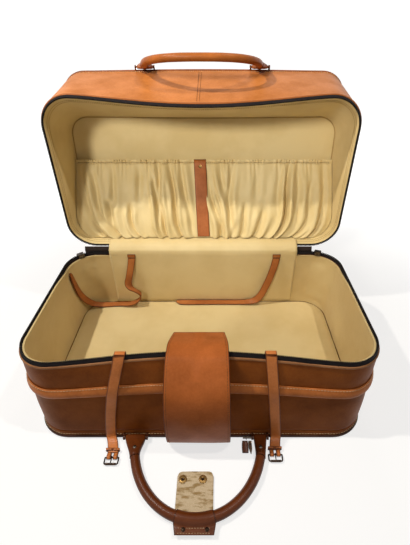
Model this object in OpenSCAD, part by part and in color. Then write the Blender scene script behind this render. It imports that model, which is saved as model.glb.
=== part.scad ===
// Soft-sided zip-round suitcase standing open on its base half.
// X runs to the right, Y from the front to the hinge, Z up. The origin is the centre of the
// underside of the base. The lid is drawn closed in its own frame (y = minus the distance from
// the hinge, z = height above the rim) and then swung open about the hinge.

/* [Base half] */
// Width of the base at the zip
rim_w = 602; // [570:1:640]
// Depth of the base at the zip
rim_d = 327; // [305:1:345]
// How much narrower the base is on the ground than at the zip
foot_tuck = 18; // [0:1:30]
// How much deeper the base is on the ground than at the zip
foot_spread = 21; // [0:1:30]
// Height of the base from the ground to the zip
base_h = 175; // [160:1:195]
// Radius of the four corners
corner_r = 60; // [50:1:70]
// How far the slack front rim bows in at its middle
rim_bow = 23; // [10:1:28]
// Thickness of the padded leather wall
wall_t = 5; // [4:0.5:6]
// Thickness of the bottom board
board_t = 5; // [4:0.5:6]
// Thickness of the wall lining
lining_t = 2.7; // [1.5:0.1:3]
// Thickness of the padded floor
pad_t = 24; // [15:1:28]

/* [Edge trims] */
// Bulge of the bottom welt
welt_out = 2.5; // [1.5:0.1:3]
// Height of the stitched roll's underside
roll_z = 100; // [85:1:110]
// Height of the stitched roll
roll_h = 19; // [14:0.5:24]
// Bulge of the stitched roll
roll_out = 5.2; // [3:0.1:6]
// Height of the light binding under the zip
binding_h = 4; // [3:0.5:5]
// Height of the dark zip tape
tape_h = 6.7; // [5:0.1:7.5]
// Height of the row of zip teeth
teeth_h = 2.2; // [1.5:0.1:2.4]

/* [Lid half] */
// Angle between the lid's rim and the base's rim
lid_open = 87; // [80:1:95]
// Height of the lid half
lid_h = 168; // [150:1:185]
// How far the lid's outer panel stands out past its rim at the sides
lid_flare_x = 4; // [0:0.5:8]
// How far the lid's outer panel stands out past its rim at the front
lid_flare_y = 9.5; // [0:0.5:14]
// Radius of the outer panel's corners
panel_r = 50; // [40:1:60]
// How far the lid's slack front rim bows in at its middle
lid_bow = 17; // [5:1:22]
// Thickness of the lid's leather wall
lid_wall_t = 3.5; // [3:0.5:4]
// Thickness of the outer panel
panel_t = 4.6; // [3:0.1:6]

/* [Lid lining and pockets] */
// How much narrower the inner panel is than the base at the zip
lining_less = 14; // [8:1:30]
// Distance of the inner panel's far edge from the front wall
lining_set_in = 73; // [60:1:80]
// Radius of the inner panel's far corners
lining_r = 40; // [30:1:46]
// Depth of the inner panel behind the rim at its far edge
lining_deep = 126; // [115:1:140]
// Depth of the inner panel behind the rim at the hinge
lining_shallow = 96; // [85:1:110]
// Distance of the pockets' elastic hem from the hinge
hem_s = 161; // [145:1:175]
// Height of the elastic hem
hem_w = 7; // [5:1:10]
// Gap between the hem and the panel behind it
mouth = 10; // [8:0.5:13]
// Thickness of the pocket cloth
cloth_t = 1.2; // [0.8:0.1:1.6]
// Depth of the pockets' folds
fold = 3; // [1:0.5:4]
// Width of the strip between the pockets
pocket_strap_w = 28; // [20:1:34]

/* [Straps and flap] */
// Thickness of the straps
strap_t = 2.2; // [1.8:0.1:2.6]
// Width of the front straps
front_strap_w = 18.5; // [16:0.5:20]
// Width of the rear straps
rear_strap_w = 17; // [14:0.5:19]
// Width of the wide flap at the base
flap_w = 110; // [95:1:120]
// Width of the wide flap at its free end
flap_end_w = 98; // [85:1:110]
// Thickness of the wide flap
flap_t = 2.8; // [2:0.1:3.2]
// Width of the strap buckles
buckle_w = 25; // [24:0.5:27]
// Length of the strap buckles
buckle_l = 14; // [12:0.5:16]

/* [Handles] */
// Diameter of the handle grips
grip_d = 16; // [14:0.5:17]
// Half of the base handle's width
base_grip_half = 109; // [106:0.5:112]
// Reach of the base handle from its bar
base_grip_reach = 126; // [115:1:135]
// Half of the lid handle's width
lid_grip_half = 119; // [112:1:124]
// Reach of the lid handle from its bar
lid_grip_reach = 128; // [118:1:136]
// Diameter of the handle bars
bar_d = 4; // [3:0.5:5]
// Angle between the lid handle and the lid's front wall
lid_grip_rise = 17; // [12:1:25]
// Width of the sleeve on the base handle
sleeve_w = 57; // [45:1:65]
// Length of the sleeve's tongue
tongue_l = 64; // [50:1:70]
// Width of the tongue
tongue_w = 58; // [48:1:64]

/* [Hidden] */

// Seat gap between a soft piece and what carries it
seat = 0.3;
// Running clearance of a bar in its bore
run = 0.05;
// Segments in a quarter corner, and stretches along a front wall
corner_n = 8;
front_n = 12;

leather = "peru";
dark_leather = "sienna";
cream = "moccasin";
navy = "midnightblue";
metal = "darkgoldenrod";

// ---------- general functions ----------
function lerp(a, b, t) = a + (b - a) * t;
function arc(cx, cy, r, a0, n) =
    [for (i = [0:n]) let(a = a0 + 90 * i / n) [cx + r * cos(a), cy + r * sin(a)]];
// A rounded box outline, counter-clockwise, whose front side bows in by bow at its middle
function outline(hw, yf, yb, rf, rb, bow) =
    let(xs = hw - rf)
    concat(
        arc(-xs, yf + rf, rf, 180, corner_n),
        [for (i = [1:front_n - 1]) let(u = 2 * i / front_n - 1) [u * xs, yf + bow * pow(1 - u * u, 1.5)]],
        arc(xs, yf + rf, rf, 270, corner_n),
        arc(hw - rb, yb - rb, rb, 0, corner_n),
        arc(rb - hw, yb - rb, rb, 90, corner_n));
function unit(v) = v / norm(v);

// Faces between ring i and ring k of m points; turned ones cut each four-sided patch the other way
function skin(i, k, m, turned = false) = [for (j = [0:m - 1])
    let(n = (j + 1) % m, a = i * m + j, b = k * m + j, c = k * m + n, d = i * m + n)
    each turned ? [[a, b, d], [b, c, d]] : [[a, b, c], [a, c, d]]];
// A closed band: the rings are the corners of its cross-section, in order
module band(rings, turned = false) {
    m = len(rings[0]);
    n = len(rings);
    polyhedron([for (r = rings) each r], [for (i = [0:n - 1]) each skin(i, (i + 1) % n, m, turned)]);
}
// A solid between its first and last ring
module stack(rings) {
    m = len(rings[0]);
    n = len(rings);
    polyhedron([for (r = rings) each r],
        concat([for (i = [0:n - 2]) each skin(i, i + 1, m)],
            [[for (j = [0:m - 1]) j]],
            [[for (j = [0:m - 1]) n * m - 1 - j]]));
}
// A strap through stations [centre, direction of its width, width]
function strap_ring(st, i, t) =
    let(n = len(st), a = st[max(i - 1, 0)][0], b = st[min(i + 1, n - 1)][0],
        c = st[i][0], w = unit(st[i][1]) * st[i][2] / 2, q = unit(cross(b - a, w)) * t / 2)
    [c - w - q, c + w - q, c + w + q, c - w + q];
module strap(st, t) stack([for (i = [0:len(st) - 1]) strap_ring(st, i, t)]);
// A round rod along x, from x
module rod(x, r, long, sides = 32)
    translate([x, 0, 0]) rotate([0, 90, 0]) cylinder(r = r, h = long, $fn = sides);

// ---------- outlines of the two halves ----------
lid_gap = 8;
hinge_y = rim_d / 2 + 7.5;
hinge_z = base_h + lid_gap;

function base_bow(z) = rim_bow * pow(max(z, 0) / base_h, 1.25);
function base_hw(z) = rim_w / 2 - foot_tuck / 2 * (1 - z / base_h);
function base_hd(z) = rim_d / 2 + foot_spread / 2 * (1 - z / base_h);
function base_ring(i, z) =
    let(hw = base_hw(z) - i, hd = base_hd(z) - i, r = corner_r - i)
    [for (p = outline(hw, -hd, hd, r, r, base_bow(z))) [p[0], p[1], z]];
// Front wall's outer face at x and height z
function front_y(x, z) =
    -base_hd(z) + base_bow(z) * pow(max(1 - pow(x / (base_hw(z) - corner_r), 2), 0), 1.5);
// Its slope there
slope_span = 5;
function front_slope(x, z) =
    (front_y(x + slope_span, z) - front_y(x - slope_span, z)) / (2 * slope_span);

lid_front = hinge_y + rim_d / 2 - 3.5;
lid_back = 1;
lid_edge_bow = 3;
function lid_ring(i, h) =
    let(k = h / lid_h)
    [for (p = outline(rim_w / 2 + 1 + lid_flare_x * k - i, i - lid_front - lid_flare_y * k,
        3 * k - lid_back - i, lerp(corner_r, panel_r, k) - i, lerp(corner_r, panel_r, k) - i,
        lerp(lid_bow, -lid_edge_bow, k))) [p[0], p[1], h]];
// Outer face of the welt on the lid's front edge, as a distance from the hinge
lid_welt_out = 2.5;
function lid_edge(x) = lid_front + lid_flare_y + lid_welt_out
    + lid_edge_bow * pow(1 - pow(x / (rim_w / 2 + 1 + lid_flare_x - panel_r), 2), 1.5);
// Lid lining: k runs from 0 at the rim to 1 at the inner panel
lining_w = rim_w - lining_less;
lining_s = lid_front - lining_set_in;
lining_out = lid_wall_t + seat;
lining_rim_h = 3;
lining_back = lid_back + lining_out;
function panel_h(s) = lerp(lining_shallow, lining_deep, s / lining_s);
function lining_hw(k) = lerp(rim_w / 2 + 1 - lining_out, lining_w / 2, k);
function lining_sb(k) = lerp(lining_back, 10, k);
function lining_rb(k) = lerp(corner_r - 4, corner_r - 15, k);
function lining_ring(i, k) =
    [for (p = outline(lining_hw(k) - i, i - lerp(lid_front - lining_out, lining_s, k), -lining_sb(k) - i,
        lerp(corner_r - 4, lining_r, k) - i, lining_rb(k) - i, lerp(lid_bow, 2, k)))
        [p[0], p[1], lerp(lining_rim_h, panel_h(-p[1]), k)]];

module on_lid() translate([0, hinge_y, hinge_z]) rotate([-lid_open, 0, 0]) children();

// Heights of the wall's rings, close enough to follow its curve
wall_top = base_h - binding_h * 2;
function wall_levels(z0, z1, n) = [for (i = [0:n]) lerp(z0, z1, i / n)];
function wall_rings(z0, z1, i0, i1) = concat(
    [for (z = wall_levels(z0, z1, 6)) base_ring(i0, z)],
    [for (z = wall_levels(z1, z0, 6)) base_ring(i1, z)]);

// ---------- base half ----------
module base_shell() color(leather) band(wall_rings(board_t, wall_top, 0, wall_t));
bottom_in = 2;
module base_bottom() color(dark_leather)
    linear_extrude(board_t) polygon([for (p = base_ring(bottom_in, 0)) [p[0], p[1]]]);
module base_welt() color(dark_leather) {
    o = welt_out;
    band([for (p = [[1.1, 0.6], [1.1, board_t - seat], [-seat, board_t - seat], [-seat, 6.2],
        [-0.7 * o, 5.9], [-o, 3.2], [-0.64 * o, 0.6]]) base_ring(p[0], p[1])]);
}
module base_roll() color(leather)
    band([for (p = [[-0.4, 0], [-0.4, 1], [-0.5 * roll_out, 0.95], [-0.88 * roll_out, 0.74],
        [-roll_out, 0.47], [-0.92 * roll_out, 0.21], [-0.6 * roll_out, 0.04]])
        base_ring(p[0], roll_z + p[1] * roll_h)]);
module base_binding() color("burlywood")
    band([for (p = [[-0.4, -3.4], [-0.4, 0.4], [-1.2, 0.4], [-1.7, -1.4], [-1.2, -3.4]])
        base_ring(p[0], wall_top + p[1])]);
tape_z = wall_top + seat;
tape_in = wall_t + lining_t - seat;
module base_tape() color(navy)
    band([for (p = [[tape_in, 0], [tape_in, 1], [1.6, 1], [0.8, 0.7], [0.6, 0]])
        base_ring(p[0], tape_z + p[1] * tape_h)]);
teeth_z = tape_z + tape_h + seat;
teeth_in = 1.6;
teeth_t = 2.4;
module base_teeth() color("black")
    band([for (p = [[teeth_in + teeth_t, 0], [teeth_in + teeth_t, 1], [teeth_in, 1], [teeth_in, 0]])
        base_ring(p[0], teeth_z + p[1] * teeth_h)]);
lining_in = wall_t + lining_t + seat;
module base_wall_lining() color(cream)
    band(wall_rings(board_t, wall_top, wall_t + seat, lining_in), turned = true);
floor_z = board_t + pad_t;
module base_floor_pad() color(cream) stack([for (z = [board_t, floor_z]) base_ring(lining_in + seat, z)]);

// ---------- hinge ----------
hinge_half = 212;
function across(pts, x0, x1) = [for (p = pts) [[(x0 + x1) / 2, p[0], p[1]], [1, 0, 0], x1 - x0]];
function back_y(z, inset) = base_hd(z) - inset;
hinge_t = 1.5;
// Lower edge and first fold of the hinge strip, and its distance from the back wall
strip_low = base_h - 37;
strip_fold = base_h - 25;
strip_out = 1.2;
module hinge_strip() color(leather)
    strap(across([[back_y(strip_low, -strip_out), strip_low], [back_y(strip_fold, -strip_out), strip_fold],
        [hinge_y - 3, hinge_z - 22],
        [hinge_y - 2.6, hinge_z - 12], [hinge_y - 1.5, hinge_z - 5], [hinge_y + 1.5, hinge_z - 2.3],
        [hinge_y + 7, hinge_z - 1.7], [hinge_y + 13, hinge_z - 0.8], [hinge_y + 28, hinge_z + 0.6]],
        -hinge_half, hinge_half), hinge_t);
flap_seat = lining_in + hinge_t / 2 + 0.5;
// The inner flap climbs the back wall in even steps and crosses to the lid under the hinge
flap_climb = [for (z = wall_levels(floor_z + 2, base_h - 12, 5)) [back_y(z, flap_seat), z]];
flap_cross = [[hinge_y - 16.5, base_h - 4], [hinge_y - 16, base_h + 3], [hinge_y - 13, hinge_z + 1.5],
    [hinge_y - 8, hinge_z + 6.5], [hinge_y - 1, hinge_z + 10], [hinge_y + 6, hinge_z + 11.2],
    [hinge_y + 12, hinge_z + 11.3]];
module hinge_flap() color(cream)
    strap(across(concat(flap_climb, flap_cross), -hinge_half - 3, hinge_half - 1), hinge_t);
gusset_t = 1.2;
module hinge_gussets() color(navy)
    for (x = [[-hinge_half - 60, -hinge_half - 2], [hinge_half + 1, hinge_half + 34]])
        strap(across([[back_y(base_h - 6, -1.4), base_h - 7], [hinge_y - 6.1, base_h + 1],
            [hinge_y - 4.6, base_h + 6], [hinge_y - 3, hinge_z + 1]], x[0], x[1]), gusset_t);

// ---------- wide flap ----------
flap_x = -2;
front_foot = -base_hd(0);
front_rim = front_y(0, base_h);
flap_path = [[front_foot - 4, 2.2], [front_foot - 16, 12], [front_foot - 26, 40],
    [front_foot - 31, base_h - 95], [front_foot - 30, base_h - 65], [front_foot - 23, base_h - 38],
    [front_rim - 41, base_h - 15], [front_rim - 25, base_h], [front_rim - 9, base_h + 6.4],
    [front_rim + 18, base_h + 4], [front_rim + 60, base_h - 15]];
flap_last = len(flap_path) - 1;
// How much the rounded corners take off the flap's free end
flap_end_cut = 8;
module wide_flap() color(dark_leather)
    strap([for (i = [0:flap_last]) [[flap_x, flap_path[i][0], flap_path[i][1]], [1, 0, 0],
        lerp(flap_w, flap_end_w, i / flap_last) - (i == flap_last ? flap_end_cut : 0)]], flap_t);

// ---------- packing straps ----------
rear_x = 165;
rear_top = [back_y(base_h - 13, flap_seat) - hinge_t / 2 - strap_t / 2 - 0.6, base_h - 13];
tab_w = 18;
tab_h = 8;
module rear_strap_tabs() color(leather)
    for (x = [-rear_x, rear_x])
        translate([x - tab_w / 2, rear_top[0] - strap_t / 2, rear_top[1] + 1.6])
            cube([tab_w, strap_t, tab_h]);
floor_strap_z = floor_z + strap_t / 2 + 0.6;
// How far the right rear strap runs to the left of its patch
rear_run = 236;
module rear_strap_right() color("chocolate")
    strap([[[rear_x, rear_top[0], rear_top[1]], [1, 0, 0], rear_strap_w],
        [[rear_x - 4, rear_top[0] - 2.4, base_h - 35], [1, 0, -0.1], rear_strap_w],
        [[rear_x - 12, rear_top[0] - 5, base_h - 65], [1, -0.05, -0.25], rear_strap_w],
        [[rear_x - 22, rear_top[0] - 6, floor_z + 51], [0.95, -0.1, -0.3], rear_strap_w],
        [[rear_x - 31, rear_top[0] - 5, floor_z + 27], [0.85, -0.35, -0.45], rear_strap_w],
        [[rear_x - 43, rear_top[0] - 3, floor_z + 12], [0.6, -0.7, -0.4], rear_strap_w],
        [[rear_x - 60, rear_top[0] - 1, floor_z + 5], [0.25, -0.95, -0.15], rear_strap_w],
        [[rear_x - 80, rear_top[0] + 1, floor_strap_z], [0, -1, 0], rear_strap_w],
        [[rear_x - 0.5 * rear_run, rear_top[0] + 1, floor_strap_z], [0, -1, 0], rear_strap_w],
        [[rear_x - 0.7 * rear_run, rear_top[0] + 1, floor_strap_z], [0, -1, 0], rear_strap_w],
        [[rear_x - rear_run + 14, rear_top[0] + 1, floor_strap_z], [0, -1, 0], rear_strap_w],
        [[rear_x - rear_run, rear_top[0] + 5, floor_strap_z], [0, -1, 0], 5]], strap_t);
side_x = -base_hw(floor_z) + lining_in;
module rear_strap_left() color("chocolate")
    strap([[[-rear_x, rear_top[0], rear_top[1]], [1, 0, 0], rear_strap_w],
        [[-rear_x - 4, rear_top[0] - 2.4, base_h - 35], [1, 0, 0.1], rear_strap_w],
        [[-rear_x - 10, rear_top[0] - 4.4, base_h - 60], [1, 0, 0.12], rear_strap_w],
        [[-rear_x - 15, rear_top[0] - 5, floor_z + 66], [0.95, 0.25, 0], rear_strap_w],
        [[-rear_x - 11, rear_top[0] - 7, floor_z + 53], [0.5, 0.85, -0.1], rear_strap_w],
        [[-rear_x + 1, rear_top[0] - 8, floor_z + 45], [0.05, 1, -0.2], rear_strap_w],
        [[-rear_x + 11, rear_top[0] - 9, floor_z + 37], [-0.1, 1, -0.1], rear_strap_w],
        [[-rear_x + 12, rear_top[0] - 10, floor_z + 27], [-0.1, 1, -0.1], rear_strap_w],
        [[-rear_x + 3, rear_top[0] - 10, floor_z + 16], [-0.1, 1, 0], rear_strap_w],
        [[-rear_x - 15, rear_top[0] - 9, floor_z + 6], [-0.05, 1, 0], rear_strap_w],
        [[-rear_x - 42, rear_top[0] - 5, floor_strap_z], [0, 1, 0], rear_strap_w],
        [[-rear_x - 67, rear_top[0] - 7, floor_strap_z], [0.1, 1, 0.05], rear_strap_w],
        [[side_x + 33, rear_top[0] - 12, floor_z + 6], [0.3, 0.9, 0.15], rear_strap_w],
        [[side_x + 18, rear_top[0] - 18, floor_z + 14], [0.4, 0.9, 0.1], rear_strap_w],
        [[side_x + 8, rear_top[0] - 29, floor_z + 34], [0.4, 0.9, 0.05], rear_strap_w],
        [[side_x + 2.5, rear_top[0] - 41, floor_z + 62], [0.15, 1, 0], rear_strap_w],
        [[side_x - 0.5, rear_top[0] - 48, floor_z + 94], [0, 1, 0], rear_strap_w],
        [[side_x - 2, rear_top[0] - 53, floor_z + 121], [0, 1, 0], rear_strap_w - 4],
        [[side_x - 2.6, rear_top[0] - 55, floor_z + 130], [0, 1, 0], 4]], strap_t);

// Front straps: top x, waist x, foot x and end x of the left and the right one
front_x = [[-126, -141, -155, -147], [115.5, 120.5, 131.5, 127.5]];
strap_top_z = teeth_z + teeth_h + strap_t / 2 + 0.5;
strap_joint = 0.2;
function strap_top(k) =
    [front_x[k][0], front_y(front_x[k][0], base_h) - strap_t / 2 - strap_joint, strap_top_z];
over_roll = strap_t / 2 + roll_out + 0.7;
// Stations down the front wall: x, distance in front of the wall, height
function strap_run(k) = [[lerp(front_x[k][0], front_x[k][1], 0.15), 3.4, base_h - 8],
    [lerp(front_x[k][0], front_x[k][1], 0.4), 4.4, base_h - 24],
    [front_x[k][1], over_roll, roll_z + roll_h],
    [lerp(front_x[k][1], front_x[k][2], 0.15), over_roll, roll_z],
    [lerp(front_x[k][1], front_x[k][2], 0.5), 5, roll_z - 40],
    [lerp(front_x[k][1], front_x[k][2], 0.85), 4.6, 26],
    [front_x[k][2], strap_t / 2 + welt_out + 2, 11]];
// The foot kicks out over the ground to the buckle's bar
foot_out = [[10, 7], [20, 5.4]];
bar_out = [39, 34];
bar_z = 4;
function strap_stations(k) = concat(
    [[strap_top(k), [1, front_slope(front_x[k][0], base_h), 0], front_strap_w]],
    [for (p = strap_run(k))
        [[p[0], front_y(p[0], p[2]) - p[1], p[2]], [1, front_slope(p[0], p[2]), 0], front_strap_w]],
    [for (p = foot_out)
        [[lerp(front_x[k][2], front_x[k][3], 0.4), front_foot - p[0], p[1]], [1, 0, 0], front_strap_w]],
    [[[front_x[k][3], front_foot - bar_out[k] + 1.6, bar_z], [1, 0, 0], front_strap_w]]);
bar_r = 1.1;
eye_r = strap_t / 2 + 1.5;
rail = 2.2;
module at_buckle(k) translate([front_x[k][3], front_foot - bar_out[k], bar_z]) children();
slot_w = 3.6;
module front_strap(k) color(dark_leather)
    difference() {
        union() {
            strap(strap_stations(k), strap_t);
            at_buckle(k) rod(-front_strap_w / 2, eye_r, front_strap_w);
        }
        at_buckle(k) rod(-buckle_w / 2, bar_r + run, buckle_w);
        at_buckle(k) translate([-slot_w / 2, -eye_r - 1, -eye_r - 1])
            cube([slot_w, 2 * eye_r + 1.6, 2 * eye_r + 2]);
    }
rail_h = 2.6;
module front_buckle(k) color(metal) at_buckle(k) {
    for (s = [-1, 1])
        translate([s * (buckle_w - rail) / 2 - rail / 2, -buckle_l + 2, -rail_h / 2])
            cube([rail, buckle_l, rail_h]);
    rod(-buckle_w / 2 + 0.5, bar_r, buckle_w - 1);
    translate([0, -buckle_l + 3.2, 0]) rod(-buckle_w / 2 + 0.5, rail_h / 2, buckle_w - 1);
}
prong_w = 2.4;
prong_eye_r = 2.4;
module front_prong(k) color("gray") at_buckle(k)
    difference() {
        union() {
            rod(-prong_w / 2, prong_eye_r, prong_w);
            translate([-prong_w / 2, -buckle_l + 1, prong_eye_r - 0.9]) cube([prong_w, buckle_l - 1, 0.9]);
        }
        rod(-prong_w, bar_r + run, 2 * prong_w);
    }
// The keeper wraps the strap just before the buckle
function keeper_at(k) = let(a = strap_stations(k), n = len(a)) lerp(a[n - 2][0], a[n - 1][0], 0.45);
function keeper_tilt(k) =
    let(a = strap_stations(k), n = len(a), d = a[n - 1][0] - a[n - 2][0]) atan2(-d[2], -d[1]);
module front_keeper(k) color(dark_leather)
    translate(keeper_at(k)) rotate([-keeper_tilt(k), 0, 0]) difference() {
        cube([front_strap_w + 7, 4, strap_t + 3], center = true);
        cube([front_strap_w + 3.4, 5, strap_t + 0.9], center = true);
    }
module front_strap_anchors() color(dark_leather)
    for (k = [0, 1]) {
        t = strap_top(k);
        in_y = t[1] + strap_t + strap_joint + lining_in + 0.6;
        strap([for (p = [[in_y + 1.4, base_h - 40], [in_y + 0.7, base_h - 20], [in_y, base_h - 5],
            [in_y - 0.6, base_h + 1.5], [in_y - 3, t[2]], [t[1] + 2, t[2]]])
            [[t[0], p[0], p[1]], [1, front_slope(t[0], base_h), 0], front_strap_w]], strap_t);
    }

// ---------- handles ----------
eye_wall = 2.6;
end_reach = 34;
lug_w = 3.6;
lug_gap = 0.4;
// How far a bar runs past the leather end that it carries, through its lug
bar_over = lug_gap + lug_w;
// Rounded arch of a grip in its own plane: a from -90 to 90 degrees, squareness n
function arch(half, reach, n, a) =
    [half * sign(sin(a)) * pow(abs(sin(a)), 2 / n), -reach * pow(abs(cos(a)), 2 / n)];
function arch_angle(reach, n, r) = acos(pow(r / reach, n / 2));
module grip(cx, half, reach, n) {
    top = arch_angle(reach, n, end_reach + seat);
    steps = 36;
    sides = 12;
    path = [for (i = [0:steps]) arch(half, reach, n, lerp(-top, top, i / steps))];
    stack([for (i = [0:steps]) let(d = unit(path[min(i + 1, steps)] - path[max(i - 1, 0)]))
        [for (j = [0:sides - 1]) let(a = 360 * j / sides, r = grip_d / 2)
            [cx + path[i][0] + d[1] * r * cos(a), path[i][1] - d[0] * r * cos(a), r * sin(a)]]]);
}
// Leather end of a grip: an eye on the bar, tapering to the grip's round section
rivet_at = 21;
rivet_d = 4;
rivet_head_d = 7;
module grip_end(cx, half, reach, n, x0, x1, side) {
    p = arch(half, reach, n, side * arch_angle(reach, n, end_reach));
    q = arch(half, reach, n, side * arch_angle(reach, n, end_reach + 1));
    turn = atan2(q[0] - p[0], p[1] - q[1]);
    eye = bar_d / 2 + eye_wall;
    difference() {
        union() {
            rod(x0, eye, x1 - x0, 48);
            hull() {
                translate([0, -3, 0]) rod(x0, eye * 0.98, x1 - x0, 24);
                translate([cx + p[0], p[1], 0]) rotate([90, 0, turn]) translate([0, 0, -1])
                    cylinder(r = grip_d / 2 + 0.5, h = 1, $fn = 24);
            }
        }
        rod(x0 - 1, bar_d / 2 + run, x1 - x0 + 2, 48);
        translate([lerp((x0 + x1) / 2, cx + p[0], rivet_at / end_reach), -rivet_at, -grip_d])
            cylinder(d = rivet_d + 2 * run, h = 2 * grip_d, $fn = 32);
    }
}
rivet_top = grip_d / 2 + 0.4;
module grip_rivet(cx, half, reach, n, x0, x1, side) {
    p = arch(half, reach, n, side * arch_angle(reach, n, end_reach));
    translate([lerp((x0 + x1) / 2, cx + p[0], rivet_at / end_reach), -rivet_at, 0]) {
        translate([0, 0, -rivet_top + 0.4]) cylinder(d = rivet_d, h = 2 * rivet_top - 0.8, $fn = 32);
        for (s = [-1, 1])
            translate([0, 0, s * (rivet_top - 0.1) - 0.6]) cylinder(d = rivet_head_d, h = 1.2, $fn = 32);
    }
}
// A lug that holds one end of a bar; the wall it is sewn to lies at y = back
module lug(x0, back) difference() {
    union() {
        rod(x0, bar_d / 2 + 1.8, lug_w);
        translate([x0, 0, -bar_d / 2 - 1.2]) cube([lug_w, back, bar_d + 2.4]);
    }
    rod(x0 - 1, bar_d / 2 + run, lug_w + 2);
}

// Base handle: its bar lies in front of the foot of the wall
bar_gap = 7;
base_bar = [front_foot - bar_gap, 9.6];
base_arch_x = -3;
base_arch_n = 2;
base_ends = [[-130, -95], [93, 115]];
module at_base_bar() translate([0, base_bar[0], base_bar[1]]) children();
module base_handle_grip() color(dark_leather)
    at_base_bar() grip(base_arch_x, base_grip_half, base_grip_reach, base_arch_n);
module base_handle_ends() color(dark_leather) at_base_bar()
    for (k = [0, 1]) grip_end(base_arch_x, base_grip_half, base_grip_reach, base_arch_n,
        base_ends[k][0], base_ends[k][1], 2 * k - 1);
module base_handle_rivets() color("gray") at_base_bar()
    for (k = [0, 1]) grip_rivet(base_arch_x, base_grip_half, base_grip_reach, base_arch_n,
        base_ends[k][0], base_ends[k][1], 2 * k - 1);
module base_handle_loops() color("saddlebrown") at_base_bar()
    for (e = base_ends) for (x = [e[0] - bar_over, e[1] + lug_gap]) lug(x, bar_gap - 0.4);
key_x = 80;
module base_handle_bars() color("dimgray") at_base_bar() {
    rod(base_ends[0][0] - bar_over, bar_d / 2, base_ends[0][1] - base_ends[0][0] + 2 * bar_over);
    rod(key_x - 6, bar_d / 2, base_ends[1][1] - key_x + 6 + bar_over);
}

// Sleeve: an open wrap round the crown with a hem in front, following the arch
sleeve_x = -3.5;
sleeve_in = grip_d / 2 + 0.35;
sleeve_out = sleeve_in + 1.3;
// The stiff hem: its reach from the grip's middle, its underside and its top
hem_out = 19;
hem_low = -0.9;
hem_high = 1.6;
// Angles at which the wrap meets the hem and ends on the tongue's side
sleeve_high = 165;
sleeve_low = -40;
function wrap(r, a0, a1) = [for (i = [0:10]) let(a = lerp(a0, a1, i / 10)) [r * cos(a), r * sin(a)]];
function sleeve_section() = concat(
    wrap(sleeve_out, sleeve_high, sleeve_low),
    wrap(sleeve_in, sleeve_low, sleeve_high),
    [[-sleeve_in - 0.4, hem_low], [-hem_out, hem_low], [-hem_out, hem_high], [-sleeve_out - 0.8, hem_high]]);
module handle_sleeve() color(dark_leather) at_base_bar() {
    lo = asin((sleeve_x - sleeve_w / 2 - base_arch_x) / base_grip_half);
    hi = asin((sleeve_x + sleeve_w / 2 - base_arch_x) / base_grip_half);
    path = [for (i = [-1:9]) arch(base_grip_half, base_grip_reach, base_arch_n, lerp(lo, hi, i / 8))];
    stack([for (i = [1:9]) let(p = path[i], d = unit(path[i + 1] - path[i - 1]))
        [for (s = sleeve_section()) [base_arch_x + p[0] - d[1] * s[0], p[1] + d[0] * s[0], s[1]]]]);
}
stud_x = [-19.5, 14.7];
stud_d = 6;
module sleeve_studs() color(metal) at_base_bar()
    for (x = stud_x)
        translate([x, -base_grip_reach - 12.6, hem_high + 0.1]) cylinder(d = stud_d, h = 1.8, $fn = 32);
crown_y = base_bar[0] - base_grip_reach;
tongue_x = sleeve_x - 2;
tongue_z = 1;
tongue_t = 2.2;
tongue_r = 8;
socket_x = [-20, 12];
socket_d = 13;
socket_hole = 4;
socket_set = 12;
// The tongue's root clears the curved sleeve at every angle of the tongue
root_gap = 0.5;
tongue_drop = base_bar[1] - tongue_z - tongue_t;
function tongue_root(x) =
    let(back = base_grip_reach * (1 - sqrt(1 - pow((tongue_x + x - base_arch_x) / base_grip_half, 2))))
    sqrt(pow(sleeve_out + root_gap + back, 2) - tongue_drop * tongue_drop);
tongue_end = tongue_root(0) + tongue_l;
module at_tongue() translate([tongue_x, crown_y, tongue_z]) children();
module sleeve_tongue() color("wheat") at_tongue() difference() {
    linear_extrude(tongue_t) polygon(concat(
        [for (i = [-5:5]) [tongue_w / 10 * i, tongue_root(tongue_w / 10 * i)]],
        arc(tongue_w / 2 - tongue_r, tongue_end - tongue_r, tongue_r, 0, 6),
        arc(tongue_r - tongue_w / 2, tongue_end - tongue_r, tongue_r, 90, 6)));
    for (x = socket_x)
        translate([x, tongue_end - socket_set, -1]) cylinder(d = socket_hole, h = tongue_t + 2, $fn = 32);
}
module tongue_sockets() color(metal) at_tongue()
    for (x = socket_x) translate([x, tongue_end - socket_set, tongue_t + 0.1]) difference() {
        cylinder(d = socket_d, h = 1.6, $fn = 48);
        translate([0, 0, -1]) cylinder(d = socket_hole, h = 4, $fn = 32);
    }

// Key tab on its ring round the right bar
ring_wire = 1.2;
module key_tab_ring() color("gray") translate([key_x, base_bar[0], base_bar[1]]) rotate([0, 90, 0]) {
    rotate_extrude($fn = 48) translate([bar_d / 2 + 1.4, 0]) circle(r = ring_wire / 2, $fn = 16);
}
key_slope = 16;
module at_key() translate([key_x, base_bar[0], base_bar[1]]) rotate([key_slope, 0, 0]) children();
key_leather_t = 2.6;
key_tip_t = 1.4;
module key_tab() color(dark_leather) at_key() {
    translate([-8, -24, -4.4]) cube([11.5, 19.5, key_leather_t]);
    translate([5, 0, -4]) linear_extrude(key_tip_t)
        polygon([[-1.5, -4.5], [4.5, -4.5], [5, -16], [2.2, -26], [-1.5, -17]]);
    translate([0, -9, -4]) cube([5, 3, key_tip_t]);
}

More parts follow.
